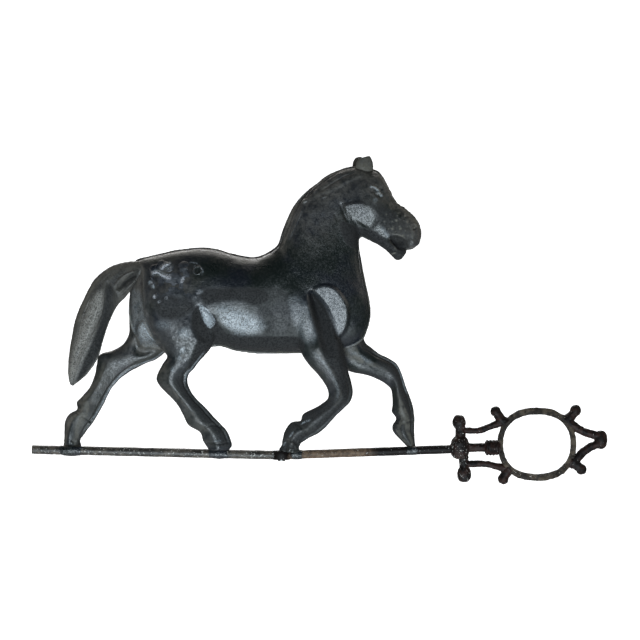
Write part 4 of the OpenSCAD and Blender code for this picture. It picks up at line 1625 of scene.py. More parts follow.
    lower_legs: tuple[Touch, ...] = (
        # Near hind leg: coronet, and the hoof's rim
        Stroke((-86.5, 31, -78, 37, -71, 38.5, -62, 36.5), 3.4, -0.7, fade=0.05),
        Stroke((-81.1, 20.7, -72.6, 19.1, -63.1, 18.6, -54.6, 21.2), 2.6, -1.2, fade=0.1),
        # Near front leg
        Stroke((10.5, 42, 19, 38, 25, 31, 29, 24.5), 3.4, -0.8, fade=0.05),
        Stroke((1.5, 21, 8, 22.5, 19.5, 17.5), 2.8, -1.0, fade=0.1),
        # Far hind leg, seen past the near one
        Stroke((-219, 51, -210, 47, -201, 41), 3.4, -0.8, Side.INNER, fade=0.05),
        # Far front leg
        Stroke((118, 42, 125, 40, 133, 41, 141, 42), 3.4, -0.7, Side.INNER, fade=0.05),
    )

    def form(self) -> Clay:
        """Fuses the trunk, jaw and legs into one shaped form.

        Returns:
            The uncut form.
        """
        limbs = (
            self.trunk, self.jaw, self.right_hind, self.left_hind,
            self.right_front, self.left_front,
        )
        parts = [limb.solid(f"limb{i}", limb.rows(grow=0.6)) for i, limb in enumerate(limbs)]
        clay = Clay(fuse(join("horse form", parts), self.voxel))
        crease = np.clip(-clay.bulge(1) * 6, 0, 1) * (np.abs(clay.co[:, 1]) > 3)
        clay.relax(12, 0.5, clay.soften(crease, 6))
        clay.relax(2, 0.4)
        for touches in (
            self.muscles, self.facets, self.far_facets, self.mane, self.head, self.lower_legs,
            self.lips(),
        ):
            clay.draw(touches)
        x, y, z = clay.co.T
        junction = hump(clay.co, (-146, 120), (14, 10)) * (y > -12)
        junction += hump(clay.co, (22, 132), (11, 17)) * (y < 0)
        clay.relax(70, 0.5, np.clip(junction * 2.5, 0, 1))
        clay.relax(2, 0.35)
        y -= np.sign(y) * 0.03 * np.clip(np.abs(y) - 24, 0, None) ** 2
        clay.refresh()
        clay.roughen((14, 0.4, 11), (5.5, 0.16, 12))
        muzzle = smoothstep((x - 100) / 18) * smoothstep((z - 218) / 10)
        eye = hump(clay.co, (101, 283), (9, 9))
        clay.roughen((2.4, 0.45, 13), weight=muzzle + eye)
        clay.roughen((1.6, 0.12, 16), weight=muzzle)
        gaskin = hump(clay.co, (-102, 122), (15, 26)) * (y < 0)
        clay.roughen((3.4, 0.5, 17), weight=gaskin)
        hooves = smoothstep((32 - z) / 14) * ((x < -205) | ((x > -8) & (x < 30)))
        clay.roughen((4.5, 1.1, 14), (2.2, 0.7, 15), weight=hooves)
        return clay

    def lips(self) -> list[Stroke]:
        """The raised lines along the legs' edges, where their halves were soldered.

        Returns:
            One groove for each leg.
        """
        return [
            limb.stroke(0.12, first, last, 3.4, -1.4, side, 0.1, Edge.CREASE)
            for limb, first, last, side in (
                (self.right_hind, 0.3, 0.95, Side.RIGHT),
                (self.right_front, 0.3, 0.9, Side.RIGHT),
                (self.left_hind, 0.2, 0.9, Side.INNER),
                (self.left_front, 0.12, 0.92, Side.INNER),
            )
        ]

    def masks(self, clay: Clay) -> dict[str, Array]:
        """Dust on what faces up, wear on what stands out, a grey layer with painted highlight
        lines, painted highlights, and matte paint with painted shade.

        Args:
            clay: The finished form.

        Returns:
            Numbers from 0 to 1 for each point, by name.
        """
        up = smoothstep((clay.normal[:, 2] - 0.72) / 0.26)
        edge = np.clip(np.abs(clay.co[:, 1]) < 1.3, 0, 1) * 0.7
        wear = np.clip(clay.bulge(2) * 3.0 - 0.1, 0, 1)
        dust = clay.soften(np.clip(up * 0.7 + edge * 0.6, 0, 1), 2)
        film, bare, dull = np.zeros((3, clay.n))
        flat = clay.co[:, [0, 2]]
        reach = {side: clay.reach(side) for side in Side}
        right, inner = Side.RIGHT, Side.INNER

        def lay(values: Array, *touches: Touch) -> None:
            """Raises a mask to the touches' strength where they reach."""
            for touch in touches:
                low, high = touch.box()
                near = np.flatnonzero(((flat >= low) & (flat <= high)).all(axis=1))
                amount = touch.shape(flat[near]) * touch.height * reach[touch.side][near]
                values[near] = np.maximum(values[near], amount)

        # Dust, with painted highlight lines on the eyelid, the buttock's ridge and the lips
        lay(dust, *self.dust_and_highlight_lines)
        # Grey layer, with painted highlight lines down the legs
        lay(
            film,
            *self.films,
            self.right_hind.stroke(0.8, 0.35, 1.0, 22, 0.6, right, 0.1),
            self.right_front.stroke(0.75, 0.25, 1.0, 24, 0.3, right, 0.1),
            self.left_hind.stroke(0.6, 0.1, 1.0, 44, 0.6, inner, 0.05),
            self.left_front.stroke(0.5, 0.3, 1.0, 30, 0.25, inner, 0.1),
            *(Stroke(path, 7.0, 1.0, side, fade=0.25) for path, side in self.highlight_streaks),
        )
        # Matte paint, with painted shade on hollows, undersides and sides turned from the light
        lay(
            dull,
            *self.dull,
            self.right_front.stroke(0.25, 0.35, 1.0, 16, 0.9, right, 0.05),
            self.right_hind.stroke(0.25, 0.4, 1.0, 16, 0.9, right, 0.05),
            self.left_front.stroke(0.25, 0.25, 1.0, 16, 0.9, inner, 0.05),
            self.left_front.stroke(0.85, 0.7, 1.0, 12, 0.9, inner, 0.05),
            self.right_front.stroke(0.85, 0.5, 1.0, 12, 0.9, right, 0.05),
        )
        # Painted highlights
        lay(
            bare,
            *self.bare,
            self.left_hind.stroke(0.06, 0.2, 0.8, 2.4, 0.8, inner, 0.1),
            self.right_hind.stroke(0.06, 0.25, 0.5, 2.4, 0.8, right, 0.1),
            self.left_front.stroke(0.06, 0.2, 0.6, 2.4, 0.8, inner, 0.1),
        )
        head = (clay.co[:, 0] > 60) & (clay.co[:, 2] > 215)
        bare = bare * (1 - 0.85 * dull * head)
        film = film * (1 - 0.55 * dull)
        wear = clay.soften(wear, 1)
        return {"dust": dust, "wear": wear, "film": film, "bare": bare, "dull": dull}

    def cut_legs(self, rest: Obj) -> Table:
        """Parts the four legs from the form at their seams.

        Args:
            rest: The form. What is left of it is the body.

        Returns:
            The legs by node.
        """
        legs: Table = {}
        for node, limb in (
            ("right_front_leg", self.right_front),
            ("left_front_leg", self.left_front),
            ("right_hind_leg", self.right_hind),
            ("left_hind_leg", self.left_hind),
        ):
            cutter = limb.cutter("leg cutter")
            legs[node] = carve(linked(node, rest.data.copy()), cutter, Cut.KEEP, keep=True)
            carve(rest, cutter, Cut.REMOVE)
        return legs

    def tail_piece(self) -> Clay:
        """Makes the combed tail.

        Returns:
            The tail.
        """
        clay = Clay(fuse(self.tail.solid("tail"), 0.75))
        both, crease = Side.BOTH, Edge.CREASE
        parting = (
            (-183, 190), (-185, 181.3), (-187.1, 160.1), (-193.4, 144.2), (-200.9, 131.4),
            (-209.4, 112.4), (-218.5, 92),
        )
        behind = ((-176, 175), (-178, 150), (-188, 124), (-198, 98), (-212, 84), (-221, 82))
        clay.draw(
            (
                Plate((*parting, *reversed(behind)), -2.4, 2.4, both),
                Stroke(parting, 3.0, -1.2, both, crease),
                Stroke(tuple((x - 2.2, z + 0.4) for x, z in parting), 3.0, 1.0, both),
                Stroke(
                    (-152, 198, -160.8, 193.2, -168, 187, -173.5, 180), 8.5, -3.6, both, fade=0.15
                ),
                Stroke((-151, 201.5, -160.8, 199.2, -169.5, 193.2, -176, 185), 2.8, 1.5, both),
                Stroke((-152, 193.5, -158.5, 187.6, -165.5, 180.5, -171, 175), 2.8, 1.5, both),
                Swell((-203, 142), (9, 34), -20, 1.4, both),
                self.tail.stroke(0.2, 0.2, 0.75, 3.6, -0.3, both),
                self.tail.stroke(0.42, 0.4, 0.97, 3.6, -0.35, both),
                self.tail.stroke(0.85, 0.3, 0.85, 3.6, -0.35, both),
            )
        )
        clay.relax(1, 0.4)
        clay.roughen((3.2, 0.2, 21))
        clay.roughen((1.7, 0.4, 22), weight=0.3 + hump(clay.co, (-203, 142), (12, 34)))
        return clay

    def ear_piece(self, limb: Limb, name: str) -> Clay:
        """Makes one blunt, solid ear.

        Args:
            limb: The ear's ribs.
            name: Name of the piece.

        Returns:
            The ear.
        """
        clay = Clay(fuse(limb.solid(name), 0.5))
        clay.relax(3, 0.5)
        clay.roughen((7, 0.5, 32), (3, 0.15, 31))
        return clay


def attach(obj: Obj, body: str, material: Material, node: str) -> None:
    """Hands a finished piece to the frame.

    Args:
        obj: The piece.
        body: The body it moves with.
        material: Its finish.
        node: The solid it stands for.
    """
    obj.name = obj.data.name = f"{obj.name.split('.')[0]}_dressed"
    obj.data.materials.clear()
    obj.data.materials.append(material)
    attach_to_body(obj, body)
    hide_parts(node)
    LOG.info("%s: %d faces", obj.name, len(obj.data.polygons))


@dataclass
class Repair:
    """The old repair on the right rump: a lumpy layer of solder, and the filled hole above it."""

    outline: tuple[Point2, ...] = (
        (-139.4, 204.6), (-133, 210.9), (-118.2, 213.1), (-103.4, 212.1), (-96, 205), (-93, 193),
        (-86.5, 187), (-84.4, 176), (-87.4, 167.5), (-99.1, 160.1), (-116.1, 159), (-128.8, 156.9),
        (-131, 164), (-135.2, 170.7), (-133.5, 179), (-138.3, 187.6),
    )
    ragged_edge: tuple[Point2, ...] = (
        (-134, 201), (-137, 193), (-136, 185), (-133.5, 177), (-133, 168), (-128, 160),
    )
    hole: Point2 = (-87.8, 201.4)
    thickness: float = 0.55
    seed: int = 7

    def patch(self, clay: Clay, lumps: NodeTool, solder: Material) -> Clay:
        """Makes the solder layer over the shaped rump.

        Args:
            clay: The finished form.
            lumps: The tree that scatters lumps.
            solder: The finish of the lumps.

        Returns:
            The closed, lumpy layer.
        """
        mesh = clay.obj.data
        depth = inside(self.outline, clay.co[:, [0, 2]])
        ragged = depth + value_noise(clay.co, 7.0, self.seed) * 3.0
        ragged += value_noise(clay.co, 3.0, self.seed + 1) * 1.2
        chosen = (ragged > 0) & (clay.normal[:, 1] < -0.15) & (clay.co[:, 1] < -4)
        quads = np.empty(len(mesh.polygons) * 4, np.int32)
        mesh.polygons.foreach_get("vertices", quads)
        quads = quads.reshape(-1, 4)
        quads = quads[chosen[quads].all(axis=1)]
        used = np.unique(quads)
        number = np.full(clay.n, -1)
        number[used] = np.arange(len(used))
        quads = number[quads]
        rise = (smoothstep(ragged[used] / 5.0) * (self.thickness + 0.35) - 0.35)[:, None]
        front = clay.co[used] + clay.normal[used] * rise
        back = clay.co[used] - clay.normal[used] * 1.8
        lower = quads[:, ::-1] + len(used)
        edges = np.concatenate([quads[:, [k, (k + 1) % 4]] for k in range(4)])
        known = set(map(tuple, edges.tolist()))
        rim = [(a, b) for a, b in known if (b, a) not in known]
        walls = [(b, a, a + len(used), b + len(used)) for a, b in rim]
        shell = mesh_object("shell", np.concatenate([front, back]), [*quads, *lower, *walls])
        strip = np.abs(to_path(self.ragged_edge, front[:, [0, 2]])[0]) < 2.6
        kept = quads[strip[quads].all(axis=1)]
        skin = mesh_object("beads", front - clay.normal[used] * 0.6, kept)
        sizes = {"Density": 60000.0, "Smallest": 0.9 * MM, "Largest": 2.1 * MM}
        lumps.make(skin, {**sizes, "Seed": self.seed, "Finish": solder})
        layer = Clay(fuse(join("rump_patch", [shell, skin]), 0.6))
        layer.relax(2, 0.5)
        along = to_path(self.ragged_edge, layer.co[:, [0, 2]])[0]
        corner = hump(layer.co, (-123, 200), (14, 9))
        layer.roughen((14, 0.9, 41))
        layer.roughen((5.5, 0.7, 44), weight=0.7 + corner)
        layer.roughen((2.0, 0.9, 42), weight=0.15 + 0.85 * np.exp(-((along / 2.2) ** 2)))
        layer.draw(
            (
                Swell((-112, 192), (12, 8), 25, 0.9),
                Stroke((-137.3, 197.2, -130.9, 199.8, -123.5, 196.1, -114, 193.5), 4.5, 1.0),
                Stroke((-127.7, 202.5, -121.4, 207.8, -115, 208.8), 3.6, 0.9),
                Stroke((-130.9, 204.6, -125.6, 199.3, -118.2, 199.3, -110.8, 202.5), 3.0, -0.8),
                Swell((-103.5, 190.5), (2.6, 1.4), 60, 1.0),
                Swell((-120, 172), (3.0, 1.8), 0, 0.9),
                Swell((-86, 178.5), (4, 3), 0, 0.9),
                Stroke((-104, 204, -97, 203, -92, 198), 3.5, 0.7),
            )
        )
        return layer

    def plug(self, clay: Clay) -> Clay:
        """Makes the filled hole's raised ring and dished face.

        Args:
            clay: The finished form.

        Returns:
            The plug.
        """
        flat = clay.co[:, [0, 2]] - np.array(self.hole)
        near = (np.linalg.norm(flat, axis=1) < 3) & (clay.co[:, 1] < 0)
        face = float(clay.co[near, 1].mean())
        x, z = self.hole
        profile = (
            (0, -3.5), (5.3, -3.5), (5.3, -0.4), (5.0, 1.2), (4.1, 1.9), (3.2, 1.3), (2.6, -0.9),
            (1.8, -1.4), (0.9, -0.2), (0, 0.3),
        )
        top = (x - 0.3, face - 10, z + 1.2)
        made = Clay(fuse(turned("rump_plug", blended(profile, 4), (x, face, z), top, 40), 0.4))
        made.roughen((1.6, 0.18, 43))
        return made


@dataclass
class Bars:
    """The two round bars, the eye for the pivot, and the braze under the hooves."""

    pivot: Point2 = (0.0, 6.2)
    rear_end: Point2 = (-264.4, 12.2)
    front_end: Point2 = (180.0, 12.6)
    rear_d: float = 9.6
    front_d: float = 9.2
    spigot_d: float = 7.4
    eye_d: float = 18.0
    eye_low: float = 1.5
    bush_d: float = 12.0
    bush_top: float = 8.6
    ceiling: float = 9.6

    def place(self, x: float) -> Array:
        """The bar's middle at a place along X."""
        end = self.rear_end if x < 0 else self.front_end
        share = x / end[0]
        return np.array([x, 0.0, self.pivot[1] + (end[1] - self.pivot[1]) * share])

    def round_bar(self, name: str, end: Point2, radius: float, seed: int) -> Obj:
        """Makes one slightly uneven bar from the pivot to its end.

        Args:
            name: Name of the piece.
            end: The bar's far end in the side view.
            radius: Its radius.
            seed: Seed of its unevenness.

        Returns:
            The closed bar.
        """
        start = np.array([self.pivot[0], 0.0, self.pivot[1]])
        stop = np.array([end[0], 0.0, end[1]])
        length = float(np.linalg.norm(stop - start))
        along = np.arange(0, length - 1.0, 0.9)
        profile = [(0, 0.0), *[(radius, float(s)) for s in along], (radius, length - 0.8)]
        profile += [(radius - 0.25, length - 0.25), (radius - 0.8, length), (0, length)]
        clay = Clay(turned(name, profile, start, stop, 44))
        body = np.abs(clay.co[:, 0]) > 12
        clay.roughen((6, 0.14, seed), (1.7, 0.12, seed + 1), weight=body)
        return clay.obj

    def upright(self, name: str, low: float, high: float, radius: float) -> Obj:
        """Makes an upright round solid at the pivot."""
        profile = [(0, low), (radius - 0.3, low), (radius, low + 0.3), (radius, high - 0.3)]
        profile += [(radius - 0.3, high), (0, high)]
        return turned(name, profile, (0, 0, 0), (0, 0, 1), 96)

    def rear(self) -> Obj:
        """Makes the rear bar, coped to the eye."""
        bar = self.round_bar("rear_bar", self.rear_end, self.rear_d / 2, 51)
        eye = self.upright("cope", self.eye_low - 8, self.eye_low + 18, self.eye_d / 2)
        return carve(bar, eye, Cut.REMOVE)

    def front(self) -> Obj:
        """Makes the front bar with the eye and its blind bore.

        Returns:
            The bar.
        """
        bar = self.round_bar("front_bar", self.front_end, self.front_d / 2, 53)
        eye = self.upright("eye", self.eye_low, self.eye_low + self.rear_d, self.eye_d / 2)
        end = np.array([self.front_end[0], 0, self.front_end[1]])
        ahead = end - self.place(0)
        ahead /= np.linalg.norm(ahead)
        radius = self.spigot_d / 2
        profile = [(0, -2), (radius, -2), (radius, 8.5), (0, 8.5)]
        for extra in (eye, turned("spigot", profile, end, end + ahead, 44)):
            carve(bar, extra, Cut.ADD)
        for low, high, radius in (
            (self.eye_low - 5, self.bush_top, self.bush_d / 2),
            (self.eye_low - 5, self.ceiling, self.bush_d / 2 - 1),
        ):
            profile = [(0, low), (radius, low), (radius, high), (0, high)]
            carve(bar, turned("bore", profile, (0, 0, 0), (0, 0, 1), 96), Cut.REMOVE)
        return bar

    def braze(self, lumps: NodeTool, solder: Material) -> Clay:
        """Makes the four lumpy rings of braze.

        Args:
            lumps: The tree that scatters lumps.
            solder: The finish of the lumps.

        Returns:
            The four rings as one piece.
        """
        spots = (
            (-236.0, -211.0, self.rear_d / 2, 1.1),
            (-80.0, -54.0, self.rear_d / 2, 0.45),
            (10.0, 23.0, self.front_d / 2, 0.8),
            (131.0, 145.0, self.front_d / 2, 0.4),
        )
        parts = []
        for k, (x0, x1, radius, swell) in enumerate(spots):
            start, stop = self.place(x0), self.place(x1)
            length = float(np.linalg.norm(stop - start))
            profile = [(0, 0.0)]
            for s in np.linspace(0, 1, 16):
                rise = (swell + 0.5) * math.sin(math.pi * s) ** 0.6
                profile.append((radius - 0.5 + rise, s * length))
            profile.append((0, length))
            core = [(radius - 1.0, 1.8), (radius - 1.0, length - 1.8)]
            drops = turned(f"drops{k}", core, start, stop, 24)
            sizes = {"Density": 52000.0 * (swell + 0.1), "Smallest": 1.1 * MM}
            sizes |= {"Largest": (1.3 + swell) * MM, "Seed": 60 + k, "Finish": solder}
            parts += [turned(f"braze{k}", profile, start, stop, 40), lumps.make(drops, sizes)]
        clay = Clay(fuse(join("hoof_brazing", parts), 0.5))
        clay.relax(3, 0.5)
        clay.roughen((5.0, 0.4, 62), (2.0, 0.2, 61))
        return clay


@dataclass
class Arrow:
    """The cast arrow: hub, arms, collar, glazing ring and point."""

    hub: Point2 = (189.2, 14.4)
    upper_knob: Point2 = (188.2, 41.3)
    lower_knob: Point2 = (193.6, -13.8)
    ring_middle: Point2 = (270.7, 17.8)
    ring_size: Point2 = (82.8, 77.4)
    window: Point2 = (71.8, 63.2)
    power: float = 2.3
    depth: float = 8.4
    groove: float = 3.2
    shaft_z: float = 14.2
    voxel: float = 0.48

    def oval(self, share: float, count: int) -> Array:
        """Points of the oval: share 0 is the window's edge, 1 the ring's outer edge.

        Args:
            share: How far from the window's edge to the ring's.
            count: Number of points.

        Returns:
            Evenly spaced places of the side view.
        """
        a = np.linspace(0, 2 * math.pi, count, endpoint=False)
        rx = (self.window[0] + (self.ring_size[0] - self.window[0]) * share) / 2
        rz = (self.window[1] + (self.ring_size[1] - self.window[1]) * share) / 2
        c, s = np.cos(a), np.sin(a)
        x = self.ring_middle[0] + rx * np.sign(c) * np.abs(c) ** (2 / self.power)
        z = self.ring_middle[1] + rz * np.sign(s) * np.abs(s) ** (2 / self.power)
        even = np.column_stack([x, z])
        loop = np.vstack([even, even[:1]])
        along = np.concatenate([[0], np.cumsum(np.linalg.norm(np.diff(loop, axis=0), axis=1))])
        want = np.linspace(0, along[-1], count, endpoint=False)
        return np.column_stack([np.interp(want, along, loop[:, k]) for k in range(2)])

    def rod(self, path: Sequence[Sequence[float]]) -> Obj:
        """Makes a round rod along a path of place and radius.

        Args:
            path: Rows of X, Z and radius.

        Returns:
            The closed rod.
        """
        p = blended(path, 6)
        d = np.gradient(p[:, :2], axis=0)
        u = d / np.linalg.norm(d, axis=1)[:, None] * p[:, 2:3]
        ribs = [(x - v, z + w, x + v, z - w, r, 0.0) for (x, z, r), (w, v) in zip(p, u)]
        return Limb(tuple(ribs), 24).solid("rod", np.array(ribs))

    def knob(self, centre: Point2, radius: float, half: float) -> Obj:
        """Makes a knob turned about its upright line."""
        angles = np.radians(np.linspace(-90, 90, 25))
        profile = [(radius * max(math.cos(a), 0) ** 0.65, half * math.sin(a)) for a in angles]
        return turned("knob", profile, (centre[0], 0, centre[1]), (centre[0], 0, centre[1] + 1), 40)

    def stem(self, start: Point2, end: Point2, radius: float) -> Obj:
        """Makes a straight round stem."""
        a, b = np.array([start[0], 0, start[1]]), np.array([end[0], 0, end[1]])
        length = float(np.linalg.norm(b - a))
        return turned("stem", [(radius, 0), (radius, length)], a, b, 32)

    def cast(self, name: str, parts: Sequence[Obj], seed: int, coped: bool = True) -> Obj:
        """Melts parts into one rough casting.

        Args:
            name: Name of the piece.
            parts: Its overlapping closed parts.
            seed: Seed of its roughness.
            coped: Whether it ends at the ring.

        Returns:
            The casting.
        """
        clay = Clay(fuse(join(name, parts), self.voxel))
        crease = np.clip(-clay.bulge(1) * 8, 0, 1)
        clay.relax(10, 0.5, clay.soften(crease, 4))
        clay.relax(2, 0.5)
        clay.roughen((5, 0.35, seed), (2.1, 0.3, seed + 1), (1.1, 0.12, seed + 2))
        if coped:
            carve(clay.obj, prism(self.oval(0.55, 120), -20, 20), Cut.REMOVE)
        return clay.obj

    def boss(self) -> Obj:
        """Makes the hub with its upper and lower knobs.

        Returns:
            The casting.
        """
        (x, z), upper, lower = self.hub, self.upper_knob, self.lower_knob
        parts = [
            self.knob(self.hub, 10.4, 12.4),
            self.knob(upper, 6.9, 7.3),
            self.knob(lower, 7.4, 8.4),
            self.stem((x + 1.0, z + 2), (upper[0] + 1.0, upper[1]), 5.3),
            self.stem((x + 3.0, z), (lower[0] + 0.6, lower[1]), 5.2),
        ]
        return self.cast("arrow_hub", parts, 71, coped=False)

    def pin(self) -> Obj:
        """Makes the rivet with its hammered heads.

        Returns:
            The rivet.
        """
        profile = (
            (0, -10.2), (1.2, -10.2), (2.4, -9.9), (3.3, -9.2), (3.4, -8.6), (2.0, -8.4),
            (2.0, 8.4), (3.4, 8.6), (3.3, 9.2), (2.4, 9.9), (1.2, 10.2), (0, 10.2),
        )
        x, z = self.hub
        obj = turned("hub_pin", profile, (x, 0, z - 1), (x, 1, z - 1), 40)
        clay = Clay(fuse(obj, 0.35))
        clay.roughen((1.6, 0.25, 74))
        return clay.obj

    def shaft(self) -> Obj:
        """Makes the short bar between hub and collar.

        Returns:
            The casting.
        """
        start, end = (195, 0, self.shaft_z), (196, 0, self.shaft_z)
        parts = [
            turned("bar", [(4.7, 0), (4.7, 20.5)], start, end, 40),
            turned("end", [(3, 0), (3, 27)], start, end, 32),
        ]
        return self.cast("centre_shaft", parts, 76, coped=False)

    def collar(self, ribs: NodeTool, iron: Material) -> Obj:
        """Makes the barrel and its row of cast ribs.

        Args:
            ribs: The tree that sets the ribs.
            iron: Their finish.

        Returns:
            The casting.
        """
        profile = [(5.6, 0), (7.0, 1.0), (7.4, 3), (7.4, 15), (7.0, 19.5), (7.0, 22)]
        start, end = (215.5, 0, self.shaft_z), (216.5, 0, self.shaft_z)
        sizes = {
            "Count": 4,
            "Ring Radius": 7.1 * MM,
            "Wire Radius": 1.35 * MM,
            "Start": (0.2179, 0.0, self.shaft_z * MM),
            "Step": (0.0035, 0.0, 0.0),
            "Finish": iron,
        }
        hoops = ribs.make(mesh_object("hoops", np.zeros((1, 3))), sizes)
        return self.cast("ribbed_collar", [turned("barrel", profile, start, end, 48), hoops], 79)

    def upper_arm(self) -> Obj:
        """Makes the arm from the upper knob's stem to the ring, with its curl.

        Returns:
            The casting.
        """
        arm = (
            (190, 32.6, 3.6), (203, 32, 3.4), (211, 32.8, 3.4), (220, 36, 3.6), (229, 39.6, 3.9),
            (238, 42, 4.6),
        )
        curl = ((240, 40, 6.2), (233.8, 43, 5.5), (230, 48.6, 5.0), (227, 52.5, 4.6))
        parts = [self.rod(arm), self.rod(curl), ball((227, 0, 52.6), 5.6)]
        return self.cast("upper_scroll_arm", parts, 82)

    def lower_arm(self) -> Obj:
        """Makes the arm below it.

        Returns:
            The casting.
        """
        arm = (
            (193, -3.6, 3.6), (207, -2.8, 3.5), (218, -3.2, 3.5), (227, -5.4, 3.8),
            (236, -7.6, 4.2), (244, -8.6, 4.6),
        )
        curl = ((246, -5, 6.0), (240.6, -9.4, 5.7), (237.4, -14, 5.3), (235, -18.6, 4.8))
        parts = [self.rod(arm), self.rod(curl), ball((235, 0, -19), 5.7)]
        return self.cast("lower_scroll_arm", parts, 85)

    def point(self) -> Obj:
        """Makes the forked point with its two curls.

        Returns:
            The casting.
        """
        rods = (
            (
                (301, 43.5, 5.4), (309, 37.8, 4.9), (314, 34.3, 4.5), (320, 31.2, 4.5),
                (329, 28.2, 4.7), (337, 25.6, 5.2),
            ),
            (
                (338, 19, 4.8), (331.5, 16.6, 4.7), (324.7, 13.2, 4.4), (319, 9, 4.4),
                (314, 3.4, 4.6), (304, -4, 5.4),
            ),
            ((300, 41, 6.0), (306.6, 47, 5.4), (311.8, 53.2, 4.8)),
            ((302, 1, 6.0), (310.5, -3, 5.4), (317.6, -8.6, 4.8)),
        )
        parts = [*map(self.rod, rods), ball((311.9, 0, 53.6), 5.9), ball((317.8, 0, -8.8), 5.6)]
        return self.cast("arrow_tip", [*parts, self.knob((338.6, 22.6), 6.9, 9.8)], 88)

    def band(
        self, name: str, sweep: NodeTool, section: Sequence[Point2], seed: int, iron: Material
    ) -> Obj:
        """Sweeps a section round the oval.

        Args:
            name: Name of the piece.
            sweep: The tree that sweeps.
            section: Places of share and depth, from the window's edge outwards.
            seed: Seed of its roughness.
            iron: Its finish.

        Returns:
            The closed band.
        """
        count = 360
        breadth = np.linalg.norm(self.oval(1.0, count) - self.oval(0.0, count), axis=1)
        loop = loop_object(name, np.column_stack([self.oval(0.5, count), np.zeros(count)]))
        write_mask(loop, "breadth", breadth * MM)
        share, depth = np.array(section).T
        profile = loop_object("section", np.column_stack([(share - 0.5) / MM, depth, share * 0]))
        sweep.make(loop, {"Section": profile, "Finish": iron})
        drop(profile)
        Clay(loop).roughen((6, 0.45, seed), (2.2, 0.4, seed + 1))
        return loop


@dataclass
class Studio:
    """The plain pale sweep, the soft lights and the camera."""

    floor_z: float = -1.25
    wall_y: float = 3.7
    lens: float = 135.0

    def sweep(self) -> None:
        """Makes the pale floor that curves up into the backdrop."""
        width, radius, steps = 9.0, 1.0, 16
        line = [(-6.0, self.floor_z)]
        for i in range(steps + 1):
            a = math.pi / 2 * i / steps
            y = self.wall_y - radius + radius * math.sin(a)
            line.append((y, self.floor_z + radius - radius * math.cos(a)))
        line.append((self.wall_y, 5.0))
        points = [(x / MM, y / MM, z / MM) for y, z in line for x in (-width, width)]
        faces = [(2 * i, 2 * i + 1, 2 * i + 3, 2 * i + 2) for i in range(len(line) - 1)]
        obj = mesh_object("sweep", np.array(points), faces)
        obj.data.shade_smooth()
        n = Nodes("pale paper")
        inputs = {0: n.place, 1: (0.04, self.wall_y, 0.15)}
        away = n.add("ShaderNodeVectorMath", inputs, operation="DISTANCE").outputs["Value"]
        paper = n.finish(
            Base_Color=(0.86, 0.86, 0.86, 1.0),
            Roughness=0.9,
            Emission_Color=(1.0, 1.0, 1.0, 1.0),
            Emission_Strength=n.maths("SUBTRACT", 1.0, n.ramp(away, 1.5, 3.1)),
        )
        obj.data.materials.append(paper)

    def panel(
        self, name: str, azimuth: float, elevation: float, distance: float, size: Point2,
        power: float, colour: Colour = (1.0, 1.0, 1.0),
    ) -> None:
        """Adds a soft light panel that faces the horse.

        Args:
            name: Name of the light.
            azimuth: Degrees from the camera's side towards the arrow.
            elevation: Degrees above the level of the horse.
            distance: Metres from the horse.
            size: Width and height in metres.
            power: Its strength.
            colour: Its colour.
        """
        light = bpy.data.lights.new(name, "AREA")
        light.shape = "RECTANGLE"
        light.size, light.size_y = size
        light.energy = power
        light.color = colour
        obj = bpy.data.objects.new(name, light)
        target = Vector((0.0, 0.0, 0.16))
        a, e = math.radians(azimuth), math.radians(elevation)
        way = Vector((math.sin(a) * math.cos(e), -math.cos(a) * math.cos(e), math.sin(e)))
        obj.location = target + way * distance
        obj.rotation_euler = way.to_track_quat("Z", "Y").to_euler()
        obj.visible_camera = False
        bpy.context.scene.collection.objects.link(obj)

    def lights(self) -> None:
        """Adds the world's dim light and the panels."""
        world = bpy.data.worlds.new("studio")
        world.use_nodes = True
        inputs = world.node_tree.nodes["Background"].inputs
        inputs["Color"].default_value = (0.9, 0.95, 1.0, 1.0)
        inputs["Strength"].default_value = 0.02
        bpy.context.scene.world = world
        self.panel("front low", 0, -28, 1.6, (1.1, 0.72), 38, (0.82, 0.93, 1.0))
        self.panel("top", 180, 62, 2.2, (1.8, 1.6), 20, (1.0, 0.97, 0.92))
        self.panel("back", 180, 30, 2.0, (1.6, 1.0), 21)
        self.panel("right", 84, 24, 1.8, (1.0, 1.0), 6, (1.0, 0.95, 0.86))
        self.panel("left", -86, 22, 1.8, (1.0, 1.0), 6.5, (1.0, 0.95, 0.86))

    def camera(self) -> None:
        """Sets the camera at the photograph's angle."""
        data = bpy.data.cameras.new("camera")
        data.lens = self.lens
        data.sensor_width = 36.0
        obj = bpy.data.objects.new("camera", data)
        obj.location = (0.0408, -2.544, 0.1495)
        obj.rotation_euler = (math.pi / 2, 0.0, 0.0)
        bpy.context.scene.collection.objects.link(obj)
        bpy.context.scene.camera = obj


